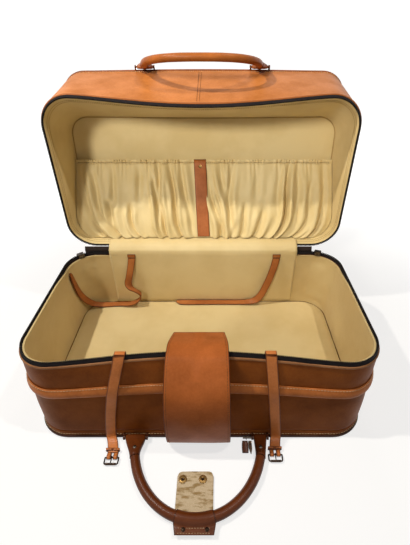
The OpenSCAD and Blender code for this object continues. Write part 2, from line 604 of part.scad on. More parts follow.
// Lid handle: its bar lies beyond the front edge of the outer panel
lid_bar = [-lid_edge(rim_w / 6) - bar_d / 2 - eye_wall - seat, lid_h - 5];
lid_arch_x = -1.5;
lid_arch_n = 2.6;
lid_ends = [[-141, -106], [103, 138]];
module at_lid_bar() on_lid() translate([0, lid_bar[0], lid_bar[1]]) children();
module lid_grip_lean() rotate([90 - lid_grip_rise, 0, 0]) children();
module lid_handle_grip() color(leather)
    at_lid_bar() lid_grip_lean() grip(lid_arch_x, lid_grip_half, lid_grip_reach, lid_arch_n);
module lid_handle_ends() color(leather) at_lid_bar() lid_grip_lean()
    for (k = [0, 1]) grip_end(lid_arch_x, lid_grip_half, lid_grip_reach, lid_arch_n,
        lid_ends[k][0], lid_ends[k][1], 2 * k - 1);
module lid_handle_rivets() color("gray") at_lid_bar() lid_grip_lean()
    for (k = [0, 1]) grip_rivet(lid_arch_x, lid_grip_half, lid_grip_reach, lid_arch_n,
        lid_ends[k][0], lid_ends[k][1], 2 * k - 1);
module lid_handle_loops() color("saddlebrown") at_lid_bar()
    for (e = lid_ends) for (x = [e[0] - bar_over, e[1] + lug_gap])
        lug(x, -lid_bar[0] - lid_edge(abs(x + lug_w / 2) - lug_w / 2) - 0.1);
module lid_handle_bars() color("dimgray") at_lid_bar()
    for (e = lid_ends) rod(e[0] - bar_over, bar_d / 2, e[1] - e[0] + 2 * bar_over);

// ---------- zip sliders ----------
// Where each slider stands on its rear corner, and how much of the corner it spans, in degrees
slider_turn = [130, 72];
slider_span = 14;
module at_slider(k) translate([(2 * k - 1) * (rim_w / 2 - corner_r), rim_d / 2 - corner_r, 0])
    rotate([0, 0, slider_turn[k]]) children();
slider_bottom = wall_top + 1.6;
slider_t = 1.4;
pull_r = corner_r + 2.9;
pull_z = slider_bottom + 2.2;
pin_r = 0.5;
pull_t = 1.2;
module zip_slider(k) color("gray") at_slider(k) {
    in_r = corner_r - wall_t - lining_t - 0.8;
    out_r = corner_r - 0.2;
    top = teeth_z + teeth_h + 0.4;
    rotate([0, 0, -slider_span / 2]) rotate_extrude(angle = slider_span, $fn = 96)
        polygon([[in_r - slider_t, slider_bottom], [in_r, slider_bottom], [in_r, top], [out_r, top],
            [out_r, slider_bottom], [out_r + 1.3, slider_bottom], [out_r + 1.3, top + slider_t],
            [in_r - slider_t, top + slider_t]]);
    for (s = [-1, 1]) translate([corner_r + 0.9, s * 2.9 - 0.6, pull_z - 1.4]) cube([3.2, 1.2, 2.8]);
    translate([pull_r, -3, pull_z]) rotate([-90, 0, 0]) cylinder(r = pin_r, h = 6, $fn = 24);
}
module zip_pull(k) color("gray") at_slider(k) difference() {
    union() {
        translate([pull_r, -2, pull_z]) rotate([-90, 0, 0]) cylinder(r = 1.25, h = 4, $fn = 24);
        translate([pull_r - pull_t / 2, -1.8, pull_z - 8]) cube([pull_t, 3.6, 7.4]);
        translate([pull_r - pull_t / 2, -3.6, pull_z - 22]) cube([pull_t, 7.2, 15]);
    }
    translate([pull_r, -3, pull_z]) rotate([-90, 0, 0]) cylinder(r = pin_r + run, h = 6, $fn = 24);
}

// ---------- lid half ----------
// Heights of the lid's wall, counted from the plane of the zip
lid_wall_low = 6;
lid_wall_high = lid_h - panel_t - 0.4;
module lid_shell() color(leather) on_lid()
    band(concat([for (i = [0:5]) lid_ring(0, lerp(lid_wall_low, lid_wall_high, i / 5))],
        [for (i = [0:5]) lid_ring(lid_wall_t, lerp(lid_wall_high, lid_wall_low, i / 5))]));
module lid_top_panel() color(leather) on_lid() stack([for (h = [lid_h - panel_t, lid_h]) lid_ring(0.4, h)]);
module lid_welt() color(dark_leather) on_lid()
    band([for (p = [[0, -5.2], [0, 0], [-1.4, 0], [-lid_welt_out, -1.6], [-lid_welt_out, -3.6],
        [-1.4, -5.2]]) lid_ring(p[0], lid_h + p[1])]);
module lid_binding() color("burlywood") on_lid()
    band([for (p = [[-0.3, 4.8], [-0.3, 8.6], [-1.2, 8.6], [-1.6, 6.6], [-1.2, 4.8]])
        lid_ring(p[0], p[1])]);
lid_tape_in = lid_wall_t + 3.2;
lid_tape_low = -1.4;
lid_tape_high = lid_wall_low - seat;
module lid_tape() color(navy) on_lid()
    band([for (p = [[lid_tape_in, lid_tape_low], [lid_tape_in, lining_rim_h - seat],
        [lid_wall_t, lining_rim_h - seat], [lid_wall_t, lid_tape_high], [0.4, lid_tape_high],
        [0.4, 0.4], [1.6, lid_tape_low]]) lid_ring(p[0], p[1])]);
lid_teeth_z = lid_tape_low - seat;
module lid_teeth() color("black") on_lid()
    band([for (p = [[teeth_in, 0], [teeth_in + teeth_t, 0], [teeth_in + teeth_t, -teeth_h],
        [teeth_in, -teeth_h]]) lid_ring(p[0], lid_teeth_z + p[1])]);
lid_lining_t = 1.5;
module lid_wall_lining() color(cream) on_lid()
    band(concat([for (i = [0:4]) lining_ring(0, i / 4)],
        [for (i = [4:-1:0]) lining_ring(lid_lining_t, i / 4)]));
panel_board_t = 2.7;
module lid_panel_lining() color(cream) on_lid()
    stack([for (t = [seat, seat + panel_board_t]) [for (p = lining_ring(0, 1)) [p[0], p[1], p[2] + t]]]);

// Pockets: v runs from the hem (0) down to the foot at the hinge (1)
pocket_split = -9;
pocket_sag = 5;
hem_h = panel_h(hem_s) - mouth - cloth_t / 2;
foot_s = lining_back + 4.4;
foot_h = 22;
fold_count = 8;
function pocket_s(v) = lerp(hem_s - hem_w / 2 - seat, foot_s, v);
function pocket_h(v) = lerp(hem_h, foot_h, v) - pocket_sag * sin(180 * v);
// Inner face of the rounded side wall at distance s from the hinge and height h
function side_at(s, h) =
    let(k = (h - lining_rim_h) / (panel_h(s) - lining_rim_h), r = lining_rb(k) - lid_lining_t,
        d = s - lining_sb(k) - lid_lining_t, hw = lining_hw(k) - lid_lining_t)
    d >= r ? hw : hw - r + sqrt(max(r * r - pow(r - d, 2), 0));
// Folds run down from the hem, die out at the strip and grow uneven towards the foot
function folds(u, v) = fold * (0.55 + 0.45 * sin(150 * v)) * min(1, u * 7) * min(1, (1 - u) * 9)
    * (0.75 * sin(360 * fold_count * u + 60 * sin(360 * 2.3 * u) + 50 * v)
        + 0.25 * sin(360 * 17 * u + 90 * v));
function pocket_point(side, u, v, t) =
    let(s = pocket_s(v), h = pocket_h(v), x0 = pocket_split + side * 0.6,
        x1 = side * (side_at(s, h) - 1.2))
    [lerp(x0, x1, u), -s, h - folds(u, v) + t];
pocket_nx = 44;
pocket_nv = 8;
// A thin cloth between two grids of points, p[layer][column][row], layer 0 in front
module cloth(p) {
    nx = len(p[0]);
    nv = len(p[0][0]);
    function at(layer, i, j) = (layer * nx + i) * nv + j;
    function quad(a, b, c, d) = [[a, b, c], [a, c, d]];
    polyhedron([for (layer = p) for (column = layer) each column], concat(
        [for (i = [0:nx - 2]) for (j = [0:nv - 2]) each
            quad(at(0, i, j), at(0, i, j + 1), at(0, i + 1, j + 1), at(0, i + 1, j))],
        [for (i = [0:nx - 2]) for (j = [0:nv - 2]) each
            quad(at(1, i, j), at(1, i + 1, j), at(1, i + 1, j + 1), at(1, i, j + 1))],
        [for (i = [0:nx - 2]) each quad(at(0, i, 0), at(0, i + 1, 0), at(1, i + 1, 0), at(1, i, 0))],
        [for (i = [0:nx - 2]) each
            quad(at(0, i + 1, nv - 1), at(0, i, nv - 1), at(1, i, nv - 1), at(1, i + 1, nv - 1))],
        [for (j = [0:nv - 2]) each quad(at(0, 0, j + 1), at(0, 0, j), at(1, 0, j), at(1, 0, j + 1))],
        [for (j = [0:nv - 2]) each
            quad(at(0, nx - 1, j), at(0, nx - 1, j + 1), at(1, nx - 1, j + 1), at(1, nx - 1, j))]));
}
module pocket(side) color(cream) on_lid()
    cloth([for (t = [0, cloth_t])
        [for (i = [0:pocket_nx]) let(u = side > 0 ? i / pocket_nx : 1 - i / pocket_nx)
            [for (j = [0:pocket_nv]) pocket_point(side, u, j / pocket_nv, t)]]]);
module pocket_elastics() color("navajowhite") on_lid()
    for (side = [-1, 1])
        stack([for (i = [0:pocket_nx]) let(u = side > 0 ? i / pocket_nx : 1 - i / pocket_nx,
            p = pocket_point(side, u, 0, 0), low = hem_w / 2 - hem_s, high = -hem_w / 2 - hem_s)
            [for (q = [[high, -0.4], [low, -0.4], [low, 1.6], [high, 1.6]]) [p[0], q[0], p[2] + q[1]]]]);
strip_gap = cloth_t / 2 + 1.3;
pocket_strap_t = 1.8;
// How far the strip drifts to the right on its way down
strip_drift = 8;
module pocket_strap() color(leather) on_lid()
    strap(concat([[[pocket_split, -hem_s - hem_w / 2 - 3, hem_h - strip_gap], [1, 0, 0], pocket_strap_w]],
        [for (i = [0:6]) let(v = i / 6 * 0.985, x = pocket_split + strip_drift * v)
            [[x, -pocket_s(v) - 1, pocket_h(v) - strip_gap], [1, 0, 0], pocket_strap_w]]), pocket_strap_t);
pocket_stud_v = 0.06;
pocket_stud_t = 1.6;
stud_tilt = atan2(pocket_h(0) - pocket_h(0.1), pocket_s(0) - pocket_s(0.1));
module pocket_stud() color(metal) on_lid()
    translate([pocket_split, -pocket_s(pocket_stud_v), pocket_h(pocket_stud_v) - strip_gap])
        rotate([-stud_tilt, 0, 0])
            translate([0, 0, -pocket_stud_t - 1.7]) cylinder(d = 8, h = pocket_stud_t, $fn = 32);

// ---------- what is drawn ----------
base_shell();
base_bottom();
base_welt();
base_roll();
base_binding();
base_tape();
base_teeth();
base_wall_lining();
base_floor_pad();
hinge_strip();
hinge_flap();
hinge_gussets();
base_handle_loops();
base_handle_bars();
wide_flap();
rear_strap_tabs();
front_strap_anchors();
key_tab();
key_tab_ring();
rear_strap_left();
rear_strap_right();
front_strap(0);  // front_strap_left
front_keeper(0);  // front_keeper_left
front_buckle(0);  // front_buckle_left
front_prong(0);  // front_prong_left
front_strap(1);  // front_strap_right
front_keeper(1);  // front_keeper_right
front_buckle(1);  // front_buckle_right
front_prong(1);  // front_prong_right
base_handle_grip();
base_handle_ends();
base_handle_rivets();
handle_sleeve();
sleeve_studs();
sleeve_tongue();
tongue_sockets();
zip_slider(0);  // zip_slider_left
zip_slider(1);  // zip_slider_right
zip_pull(0);  // zip_pull_left
zip_pull(1);  // zip_pull_right
lid_shell();
lid_top_panel();
lid_welt();
lid_binding();
lid_tape();
lid_teeth();
lid_wall_lining();
lid_panel_lining();
pocket(-1);  // pocket_left
pocket(1);  // pocket_right
pocket_elastics();
pocket_strap();
pocket_stud();
lid_handle_loops();
lid_handle_bars();
lid_handle_grip();
lid_handle_ends();
lid_handle_rivets();
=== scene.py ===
# %% [markdown]
# # An open zip-round suitcase
# The object is a tan leather travel case that stands open on its base half. The imported CAD part is
# loaded first and never moved: it says where every piece is. Most leather, cloth and metal pieces
# that show are then made again here with finer meshes and real finishes, in the same frame; a few
# plain rigid ones keep their CAD solid.

# %% Load the frame
import math
from functools import lru_cache

import bmesh
import bpy
from mathutils import Matrix, Vector, noise


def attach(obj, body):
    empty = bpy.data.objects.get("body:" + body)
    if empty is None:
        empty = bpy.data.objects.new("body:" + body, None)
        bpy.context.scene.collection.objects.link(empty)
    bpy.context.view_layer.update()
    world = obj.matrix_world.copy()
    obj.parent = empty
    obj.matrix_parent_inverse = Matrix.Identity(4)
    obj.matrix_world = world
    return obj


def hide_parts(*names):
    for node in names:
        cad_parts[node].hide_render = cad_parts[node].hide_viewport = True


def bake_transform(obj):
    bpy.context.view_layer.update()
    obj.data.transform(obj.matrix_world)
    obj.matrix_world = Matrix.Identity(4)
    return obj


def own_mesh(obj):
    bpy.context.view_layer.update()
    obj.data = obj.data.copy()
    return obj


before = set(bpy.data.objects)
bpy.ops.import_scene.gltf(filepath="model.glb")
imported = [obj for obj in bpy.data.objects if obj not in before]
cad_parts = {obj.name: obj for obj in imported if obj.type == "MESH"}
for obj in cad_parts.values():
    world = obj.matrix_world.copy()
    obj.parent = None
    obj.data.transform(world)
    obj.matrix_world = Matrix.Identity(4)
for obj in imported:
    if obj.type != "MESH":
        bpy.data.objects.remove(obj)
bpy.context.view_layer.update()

# %% [markdown]
# ## Camera
# A phone photograph taken from above and in front has strong perspective: the near handle looks
# large and the lid leans back. Focal length, place and tilt were fitted together to points read
# along both rims, the floor and the bottom edge. The upward shift was held near a given value,
# and a larger one would have fitted the points a little better. The lens comes out wide,
# 25 mm on a 36 mm sensor.

# %% Camera
eye = bpy.data.objects.new("eye", bpy.data.cameras.new("eye"))
bpy.context.scene.collection.objects.link(eye)
eye.location = (0.028, -0.570, 0.6455)
eye.rotation_euler = (math.radians(90 - 31.5), 0, 0)
eye.data.lens = 25.17
eye.data.sensor_width = 36
eye.data.shift_x = -0.0207
eye.data.shift_y = -0.0543
bpy.context.scene.camera = eye
print("camera at", tuple(round(x, 3) for x in eye.location))

# %% [markdown]
# ## Small helpers
# The case is drawn in millimetres, as its maker would, and turned to metres when a mesh is made.
# Nearly every leather or cloth piece is a sheet that was bent round something, so one helper bends
# a bmesh grid with a function of two numbers, across and along. Closed edges are then merged, open
# ends are filled, and the faces are turned outwards.

# %% Bend a grid into a piece
MM = 0.001


def lerp(a, b, t):
    return a + (b - a) * t


def put_in_scene(mesh, name, material, body, stands_for=(), thick=0, offset=-1.0):
    piece = bpy.data.objects.new(name, mesh)
    bpy.context.scene.collection.objects.link(piece)
    mesh.materials.append(material)
    for face in mesh.polygons:
        face.use_smooth = True
    mesh.set_sharp_from_angle(angle=math.radians(50))
    if thick:
        wall = piece.modifiers.new("thickness", "SOLIDIFY")
        wall.thickness = thick * MM
        wall.offset = offset
        solid = bpy.data.meshes.new_from_object(piece.evaluated_get(bpy.context.evaluated_depsgraph_get()))
        piece.modifiers.clear()
        piece.data = solid
    if body:
        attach(piece, body)
    if stands_for:
        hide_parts(*stands_for)
    return piece


def bent_grid(shape, across, along, round_across=False, round_along=False, fill=False, edge=None,
              size=(1, 1)):
    """A grid whose point at (u, v) goes to shape(u, v) in millimetres. edge(u, v) is the distance
    in millimetres from the cut edge, kept as the attribute from_edge; size is the UV scale."""
    bm = bmesh.new()
    cloth_map = bm.loops.layers.uv.new("cloth")
    bmesh.ops.create_grid(bm, x_segments=across, y_segments=along, size=0.5, calc_uvs=False)
    near = bm.verts.layers.float.new("from_edge")
    for face in bm.faces:
        for corner in face.loops:
            spot = corner.vert.co
            corner[cloth_map].uv = ((spot.x + 0.5) * size[0], (spot.y + 0.5) * size[1])
    for point in bm.verts:
        u, v = min(max(point.co.x + 0.5, 0), 1), min(max(point.co.y + 0.5, 0), 1)
        point.co = Vector(shape(u, v)) * MM
        point[near] = (edge(u, v) if edge else 50) * MM
    if round_across or round_along:
        bmesh.ops.remove_doubles(bm, verts=bm.verts, dist=1e-6)
    if fill:
        bmesh.ops.holes_fill(bm, edges=[e for e in bm.edges if e.is_boundary], sides=0)
    bmesh.ops.recalc_face_normals(bm, faces=bm.faces)
    return bm


def finished(bm, name):
    mesh = bpy.data.meshes.new(name)
    bm.to_mesh(mesh)
    bm.free()
    return mesh


def smooth_path(stops, steps):
    """Points on a smooth curve through the stops, which may be tuples of any length."""
    stops = [tuple(s) for s in stops]
    ends = [stops[0]] + stops + [stops[-1]]
    made = []
    for i in range(len(stops) - 1):
        a, b, c, d = ends[i:i + 4]
        for k in range(steps):
            t = k / steps
            made.append(tuple(0.5 * (2 * q + (r - p) * t + (2 * p - 5 * q + 4 * r - s) * t * t
                                     + (3 * q - p - 3 * r + s) * t ** 3) for p, q, r, s in zip(a, b, c, d)))
    return made + [stops[-1]]


def rough(x, y, z, size, seed=0.0):
    """Smooth unevenness from -1 to 1 of a given size in millimetres."""
    return noise.noise(Vector((x / size + seed, y / size - seed, z / size + 2 * seed)))


print("helpers ready")

# %% [markdown]
# ## Outlines
# Both halves are rounded boxes whose slack front rim bows inwards. The rings below repeat the
# source's measures, with more points to a corner, so a fine mesh lies on the CAD solid's place.

# %% Outlines of the base and the lid
RIM_W, RIM_D, BASE_H, CORNER_R = 602, 327, 175, 60
TUCK, SPREAD, RIM_BOW = 18, 21, 23
WALL_T, LINING_T, SEAT = 5, 2.7, 0.3
HINGE_Y, HINGE_Z, LID_OPEN = RIM_D / 2 + 7.5, BASE_H + 8, 87
LID_H, LID_WALL_T, PANEL_T = 168, 3.5, 4.6
WALL_TOP = BASE_H - 8
TAPE_Z, TAPE_H, TEETH_H = WALL_TOP + SEAT, 6.7, 2.2
TEETH_Z = TAPE_Z + TAPE_H + SEAT
LINING_IN = WALL_T + LINING_T + SEAT
FLOOR_Z = 29
CORNER_N, FRONT_N, SIDE_N, BACK_N = 14, 44, 16, 36
RING_N = 4 * CORNER_N + FRONT_N + 2 * SIDE_N + BACK_N


@lru_cache(maxsize=None)
def outline(hw, yf, yb, rf, rb, bow):
    """A rounded box outline, counter-clockwise from the left front corner."""
    def corner(cx, cy, r, start):
        return [(cx + r * math.cos(math.radians(start + 90 * i / CORNER_N)),
                 cy + r * math.sin(math.radians(start + 90 * i / CORNER_N))) for i in range(CORNER_N)]
    xs = hw - rf
    front = [(u * xs, yf + bow * (1 - u * u) ** 1.5) for u in (2 * i / FRONT_N - 1 for i in range(FRONT_N))]
    right = [(hw, lerp(yf + rf, yb - rb, i / SIDE_N)) for i in range(SIDE_N)]
    back = [(lerp(hw - rb, rb - hw, i / BACK_N), yb) for i in range(BACK_N)]
    left = [(-hw, lerp(yb - rb, yf + rf, i / SIDE_N)) for i in range(SIDE_N)]
    return (corner(-xs, yf + rf, rf, 180) + front + corner(xs, yf + rf, rf, 270) + right
            + corner(hw - rb, yb - rb, rb, 0) + back + corner(rb - hw, yb - rb, rb, 90) + left)


def base_hw(z):
    return RIM_W / 2 - TUCK / 2 * (1 - z / BASE_H)


def base_hd(z):
    return RIM_D / 2 + SPREAD / 2 * (1 - z / BASE_H)


def base_bow(z):
    return RIM_BOW * (max(z, 0) / BASE_H) ** 1.25


def base_point(u, inset, z):
    r = outline(base_hw(z) - inset, inset - base_hd(z), base_hd(z) - inset, CORNER_R - inset,
                CORNER_R - inset,
                base_bow(z))
    x, y = r[round(u * RING_N) % RING_N]
    return (x, y, z)


def front_y(x, z):
    return -base_hd(z) + base_bow(z) * max(1 - (x / (base_hw(z) - CORNER_R)) ** 2, 0) ** 1.5


LID_FRONT = HINGE_Y + RIM_D / 2 - 3.5


def lid_point(u, inset, h):
    k = h / LID_H
    r = outline(RIM_W / 2 + 1 + 4 * k - inset, inset - LID_FRONT - 9.5 * k, 3 * k - 1 - inset,
                lerp(60, 50, k) - inset, lerp(60, 50, k) - inset, lerp(17, -3, k))
    x, y = r[round(u * RING_N) % RING_N]
    return on_lid(x, y, h)


LID_PLACE = Matrix.Translation((0, HINGE_Y, HINGE_Z)) @ Matrix.Rotation(math.radians(-LID_OPEN), 4, "X")


def on_lid(x, y, h):
    """A point of the closed lid's own drawing, swung open."""
    return LID_PLACE @ Vector((x, y, h))


print("ring of", RING_N, "points; lid hinge at", HINGE_Y, HINGE_Z)

# %% [markdown]
# ## Stage and light
# The floor and backdrop are plain and nearly white. They take the case's shadow, and a little of
# their own white is added for the camera and for reflections only, so no extra light falls on the
# leather. Two small lamps hang over the case, right and left, and cast the strap and rim shadows. A
# broad weak one in front stands for light from the opposite wall, and a low one behind lights the
# back. A gridded softbox at the front left is aimed at the inside of the lid.

# %% Colours and nodes
def srgb(code):
    """A hex colour as linear numbers."""
    parts = [int(code[i:i + 2], 16) / 255 for i in (1, 3, 5)]
    return tuple(c / 12.92 if c <= 0.04045 else ((c + 0.055) / 1.055) ** 2.4 for c in parts) + (1.0,)


def add(material, kind, settings=None, **inputs):
    """Adds a node. An input is a value or another node's socket; i0, i1 ... name inputs by number."""
    made = material.node_tree.nodes.new("ShaderNode" + kind)
    for name, value in (settings or {}).items():
        setattr(made, name, value)
    for name, value in inputs.items():
        if name[0] == "i" and name[1:].isdigit():
            socket = made.inputs[int(name[1:])]
        else:
            socket = made.inputs[name.replace("_", " ")]
        if isinstance(value, bpy.types.NodeSocket):
            material.node_tree.links.new(value, socket)
        else:
            socket.default_value = value
    return made


def new_material(name):
    material = bpy.data.materials.new(name)
    material.use_nodes = True
    material.node_tree.nodes.clear()
    return material


def close_material(material, shader):
    end = material.node_tree.nodes.new("ShaderNodeOutputMaterial")
    material.node_tree.links.new(shader, end.inputs["Surface"])
    return material


def seen_directly(material):
    """1 for camera, glossy and transmission rays."""
    rays = add(material, "LightPath")
    some = add(material, "Math", {"operation": "MAXIMUM"}, i0=rays.outputs["Is Camera Ray"],
               i1=rays.outputs["Is Glossy Ray"])
    return add(material, "Math", {"operation": "MAXIMUM"}, i0=some.outputs[0],
               i1=rays.outputs["Is Transmission Ray"]).outputs[0]


# %% Floor, backdrop, world and lamps
paper = new_material("matt_white_paper")
lit = add(paper, "BsdfDiffuse", Color=srgb("#a8a6a2"))
distance = add(paper, "VectorMath", {"operation": "LENGTH"}, i0=add(paper, "TexCoord").outputs["Object"])
fade = add(paper, "MapRange", {"interpolation_type": "SMOOTHSTEP"}, Value=distance.outputs["Value"],
           From_Min=0.45, From_Max=1.1, To_Min=0.70, To_Max=1.0)
glow_strength = add(paper, "Math", {"operation": "MULTIPLY"}, i0=seen_directly(paper), i1=fade.outputs[0])
glow = add(paper, "Emission", Color=(1, 1, 1, 1), Strength=glow_strength.outputs[0])
close_material(paper, add(paper, "AddShader", i0=lit.outputs[0], i1=glow.outputs[0]).outputs[0])

bm = bmesh.new()
bmesh.ops.create_grid(bm, x_segments=1, y_segments=1, size=6)
bmesh.ops.translate(bm, verts=bm.verts, vec=(0, 1.5, -0.0006))
far_side = [e for e in bm.edges if all(v.co.y > 7 for v in e.verts)]
risen = bmesh.ops.extrude_edge_only(bm, edges=far_side)["geom"]
bmesh.ops.translate(bm, verts=[g for g in risen if isinstance(g, bmesh.types.BMVert)], vec=(0, 0, 5))
floor = bpy.data.objects.new("floor", finished(bm, "floor"))
floor.data.materials.append(paper)
bpy.context.scene.collection.objects.link(floor)

world = bpy.data.worlds.new("studio")
bpy.context.scene.world = world
world.use_nodes = True
world.node_tree.nodes.clear()
direct = seen_directly(world)
sky = add(world, "Background", Color=(1.0, 0.985, 0.96, 1), Strength=0.10)
white = add(world, "Background", Color=(1, 1, 1, 1), Strength=1.0)
both = add(world, "MixShader", i0=direct, i1=sky.outputs[0], i2=white.outputs[0])
end = world.node_tree.nodes.new("ShaderNodeOutputWorld")
world.node_tree.links.new(both.outputs[0], end.inputs["Surface"])


WARM_WHITE = (1, 0.96, 0.9)


def hang_lamp(light, place, aim):
    """Put a light in the scene, turned towards the point that it lights."""
    holder = bpy.data.objects.new(light.name, light)
    holder.location = place
    holder.rotation_euler = (Vector(aim) - Vector(place)).to_track_quat("-Z", "Y").to_euler()
    bpy.context.scene.collection.objects.link(holder)


def lamp(name, place, aim, size, power):
    light = bpy.data.lights.new(name, "AREA")
    light.shape, light.size, light.energy, light.color = "DISK", size, power, WARM_WHITE
    hang_lamp(light, place, aim)


lamp("ceiling_right", (0.80, -0.30, 2.2), (0, 0.05, 0.15), 0.08, 12.5)
lamp("ceiling_left", (-0.70, -0.12, 1.4), (0, 0.05, 0.15), 0.05, 12.5)
lamp("wall_bounce", (0.0, -2.1, 1.25), (0, 0.1, 0.4), 1.3, 2)
lamp("back_bounce", (0.2, 2.3, 0.38), (0, 0.3, 0.3), 0.3, 16)
softbox = bpy.data.lights.new("gridded_softbox", "SPOT")
softbox.energy, softbox.color, softbox.shadow_soft_size = 210, WARM_WHITE, 0.20
softbox.spot_size, softbox.spot_blend = math.radians(26), 1.0
hang_lamp(softbox, (-0.95, -1.85, 1.58), (0.02, 0.26, 0.51))
bpy.context.scene.view_settings.view_transform = "Standard"

# %% [markdown]
# ## Leather
# The case is of vegetable-tanned cowhide, pressed with a fine pebble and waxed. To the eye that is
# a warm cloudy brown, pores of about a millimetre and a soft broad gloss. The cloudiness is a
# 60 mm noise, the pores are Voronoi cells of 1.3 mm, and a cut edge is darker where it was
# burnished: the pieces carry their distance from the edge, so the same finish serves them all.

# %% Leather
def leather(name, light, dark, burnt="#3c1c0c", grain_mm=1.3, shine=0.44, pores=0.22, patches=0.5,
            wax_level=0.14):
    hide = new_material(name)
    place = add(hide, "TexCoord").outputs["Object"]
    cloud = add(hide, "TexNoise", Vector=place, Scale=1 / 0.06, Detail=5.0, Roughness=0.62)
    wide = add(hide, "MapRange", Value=cloud.outputs["Fac"], From_Min=0.5 - patches / 3,
               From_Max=0.5 + patches / 3)
    body_tone = add(hide, "Mix", {"data_type": "RGBA"}, i0=wide.outputs[0], i6=srgb(dark), i7=srgb(light))
    cells = add(hide, "TexVoronoi", Vector=place, Scale=1000 / grain_mm, Randomness=1.0)
    fleck = add(hide, "TexNoise", Vector=place, Scale=1000 / (grain_mm * 3), Detail=3.0, Roughness=0.7)
    tick = add(hide, "MapRange", Value=fleck.outputs["Fac"], From_Min=0.35, From_Max=0.75, To_Min=0.0,
               To_Max=0.3)
    toned = add(hide, "Mix", {"data_type": "RGBA", "blend_type": "MULTIPLY"}, i0=tick.outputs[0],
                i6=body_tone.outputs[2], i7=srgb("#c9a58c"))
    margin = add(hide, "Attribute", {"attribute_name": "from_edge"})
    burnish = add(hide, "MapRange", {"interpolation_type": "SMOOTHSTEP"}, Value=margin.outputs["Fac"],
                  From_Min=0.0006, From_Max=0.0022, To_Min=0.85, To_Max=0.0)
    tone = add(hide, "Mix", {"data_type": "RGBA"}, i0=burnish.outputs[0], i6=toned.outputs[2], i7=srgb(burnt))
    crease = add(hide, "MapRange", {"interpolation_type": "SMOOTHSTEP"}, Value=margin.outputs["Fac"],
                 From_Min=0.0018, From_Max=0.0026, To_Min=0.0, To_Max=1.0)
    skin = add(hide, "Math", {"operation": "MULTIPLY"}, i0=cells.outputs["Distance"], i1=0.6)
    fine = add(hide, "Math", {"operation": "MULTIPLY_ADD"}, i0=fleck.outputs["Fac"], i1=0.9,
               i2=skin.outputs[0])
    high = add(hide, "Math", {"operation": "MULTIPLY_ADD"}, i0=crease.outputs[0], i1=1.2, i2=fine.outputs[0])
    bump = add(hide, "Bump", Height=high.outputs[0], Strength=pores, Distance=0.0008)
    gloss = add(hide, "MapRange", Value=cloud.outputs["Fac"], From_Min=0.3, From_Max=0.7,
                To_Min=shine + 0.08, To_Max=shine - 0.06)
    wax = add(hide, "BsdfPrincipled", Base_Color=tone.outputs[2], Roughness=gloss.outputs[0],
              Normal=bump.outputs[0])
    wax.inputs["Specular IOR Level"].default_value = wax_level
    return close_material(hide, wax.outputs[0])


tan_hide = leather("waxed_tan_cowhide", "#c3793c", "#a9652c")
# The base is the same tan hide as the lid; its darker colour is painted shade for the shaded base walls.
base_hide = leather("tan_cowhide_painted_shade", "#9b561f", "#7f4316", wax_level=0.08)
flap_hide = leather("waxed_saddle_hide", "#be6a34", "#a25827", shine=0.4, wax_level=0.1)
strap_hide = leather("burnished_strap_hide", "#de8848", "#c07034", burnt="#5a2a10", grain_mm=0.9, shine=0.34,
                     wax_level=0.22)
packing_hide = leather("reddish_strap_hide", "#b5713c", "#9c5a2c", burnt="#5a2e14", grain_mm=0.9, shine=0.38)
# Darker than the lid grip's leather: the dark tone is partly painted shade for the shade in front of the
# base; it also serves the sleeve and key tab.
handle_hide = leather("dark_handle_hide_painted_shade", "#773c15", "#55270b", grain_mm=1.0, shine=0.3, patches=0.7,
                      wax_level=0.2)
lid_grip_hide = leather("handled_tan_hide", "#ab6229", "#8b4c1c", grain_mm=1.0, shine=0.33)
welt_hide = leather("welt_hide", "#4a2814", "#331a0c", grain_mm=0.9, shine=0.36)
binding_hide = leather("pale_binding", "#a8754c", "#8a5c38", burnt="#8a5c38", grain_mm=0.8, shine=0.5)
print("leathers:", sum("hid" in m.name for m in bpy.data.materials))

# %% [markdown]
# ## Lining, suede, tape and thread
# The lining is a cream coated cotton with a thread every half millimetre, too fine for a picture
# of this size, so its weave is drawn at 1.1 mm and very shallow; handling has left it warmer in
# patches. The tongue is the rough suede side of a split hide, worn through in bands where it was
# bent. The zip tape is ribbed, nearly black cotton, and the thread is a waxed cream linen.

# %% Cloth, suede, tape and thread
def lining_cloth(name, light, dark, weave=0.10):
    cloth = new_material(name)
    place = add(cloth, "TexCoord").outputs["Object"]
    cloud = add(cloth, "TexNoise", Vector=place, Scale=1 / 0.11, Detail=4.0, Roughness=0.55)
    tone = add(cloth, "Mix", {"data_type": "RGBA"}, i0=add(cloth, "MapRange", Value=cloud.outputs["Fac"],
               From_Min=0.38, From_Max=0.62).outputs[0], i6=srgb(dark), i7=srgb(light))
    knit = add(cloth, "TexVoronoi", Vector=place, Scale=1000 / 1.1, Randomness=0.35)
    pucker = add(cloth, "TexNoise", Vector=place, Scale=1 / 0.014, Detail=3.0, Roughness=0.5)
    high = add(cloth, "Math", {"operation": "MULTIPLY_ADD"}, i0=pucker.outputs["Fac"], i1=3.2,
               i2=knit.outputs["Distance"])
    bump = add(cloth, "Bump", Height=high.outputs[0], Strength=weave, Distance=0.001)
    coated = add(cloth, "BsdfPrincipled", Base_Color=tone.outputs[2], Roughness=0.62, Normal=bump.outputs[0])
    coated.inputs["Sheen Weight"].default_value = 0.12
    return close_material(cloth, coated.outputs[0])


# One lining cloth in three copies: the lid copy is a little lighter as painted light, the wall copy darker as
# painted shade.
cream = lining_cloth("cream_coated_cotton", "#dac48e", "#d0b880")
cream_lid = lining_cloth("cream_cotton_lid_painted_light", "#ddc790", "#d2ba80")
cream_wall = lining_cloth("cream_cotton_wall_painted_shade", "#d2bb84", "#c8ae76", weave=0.16)

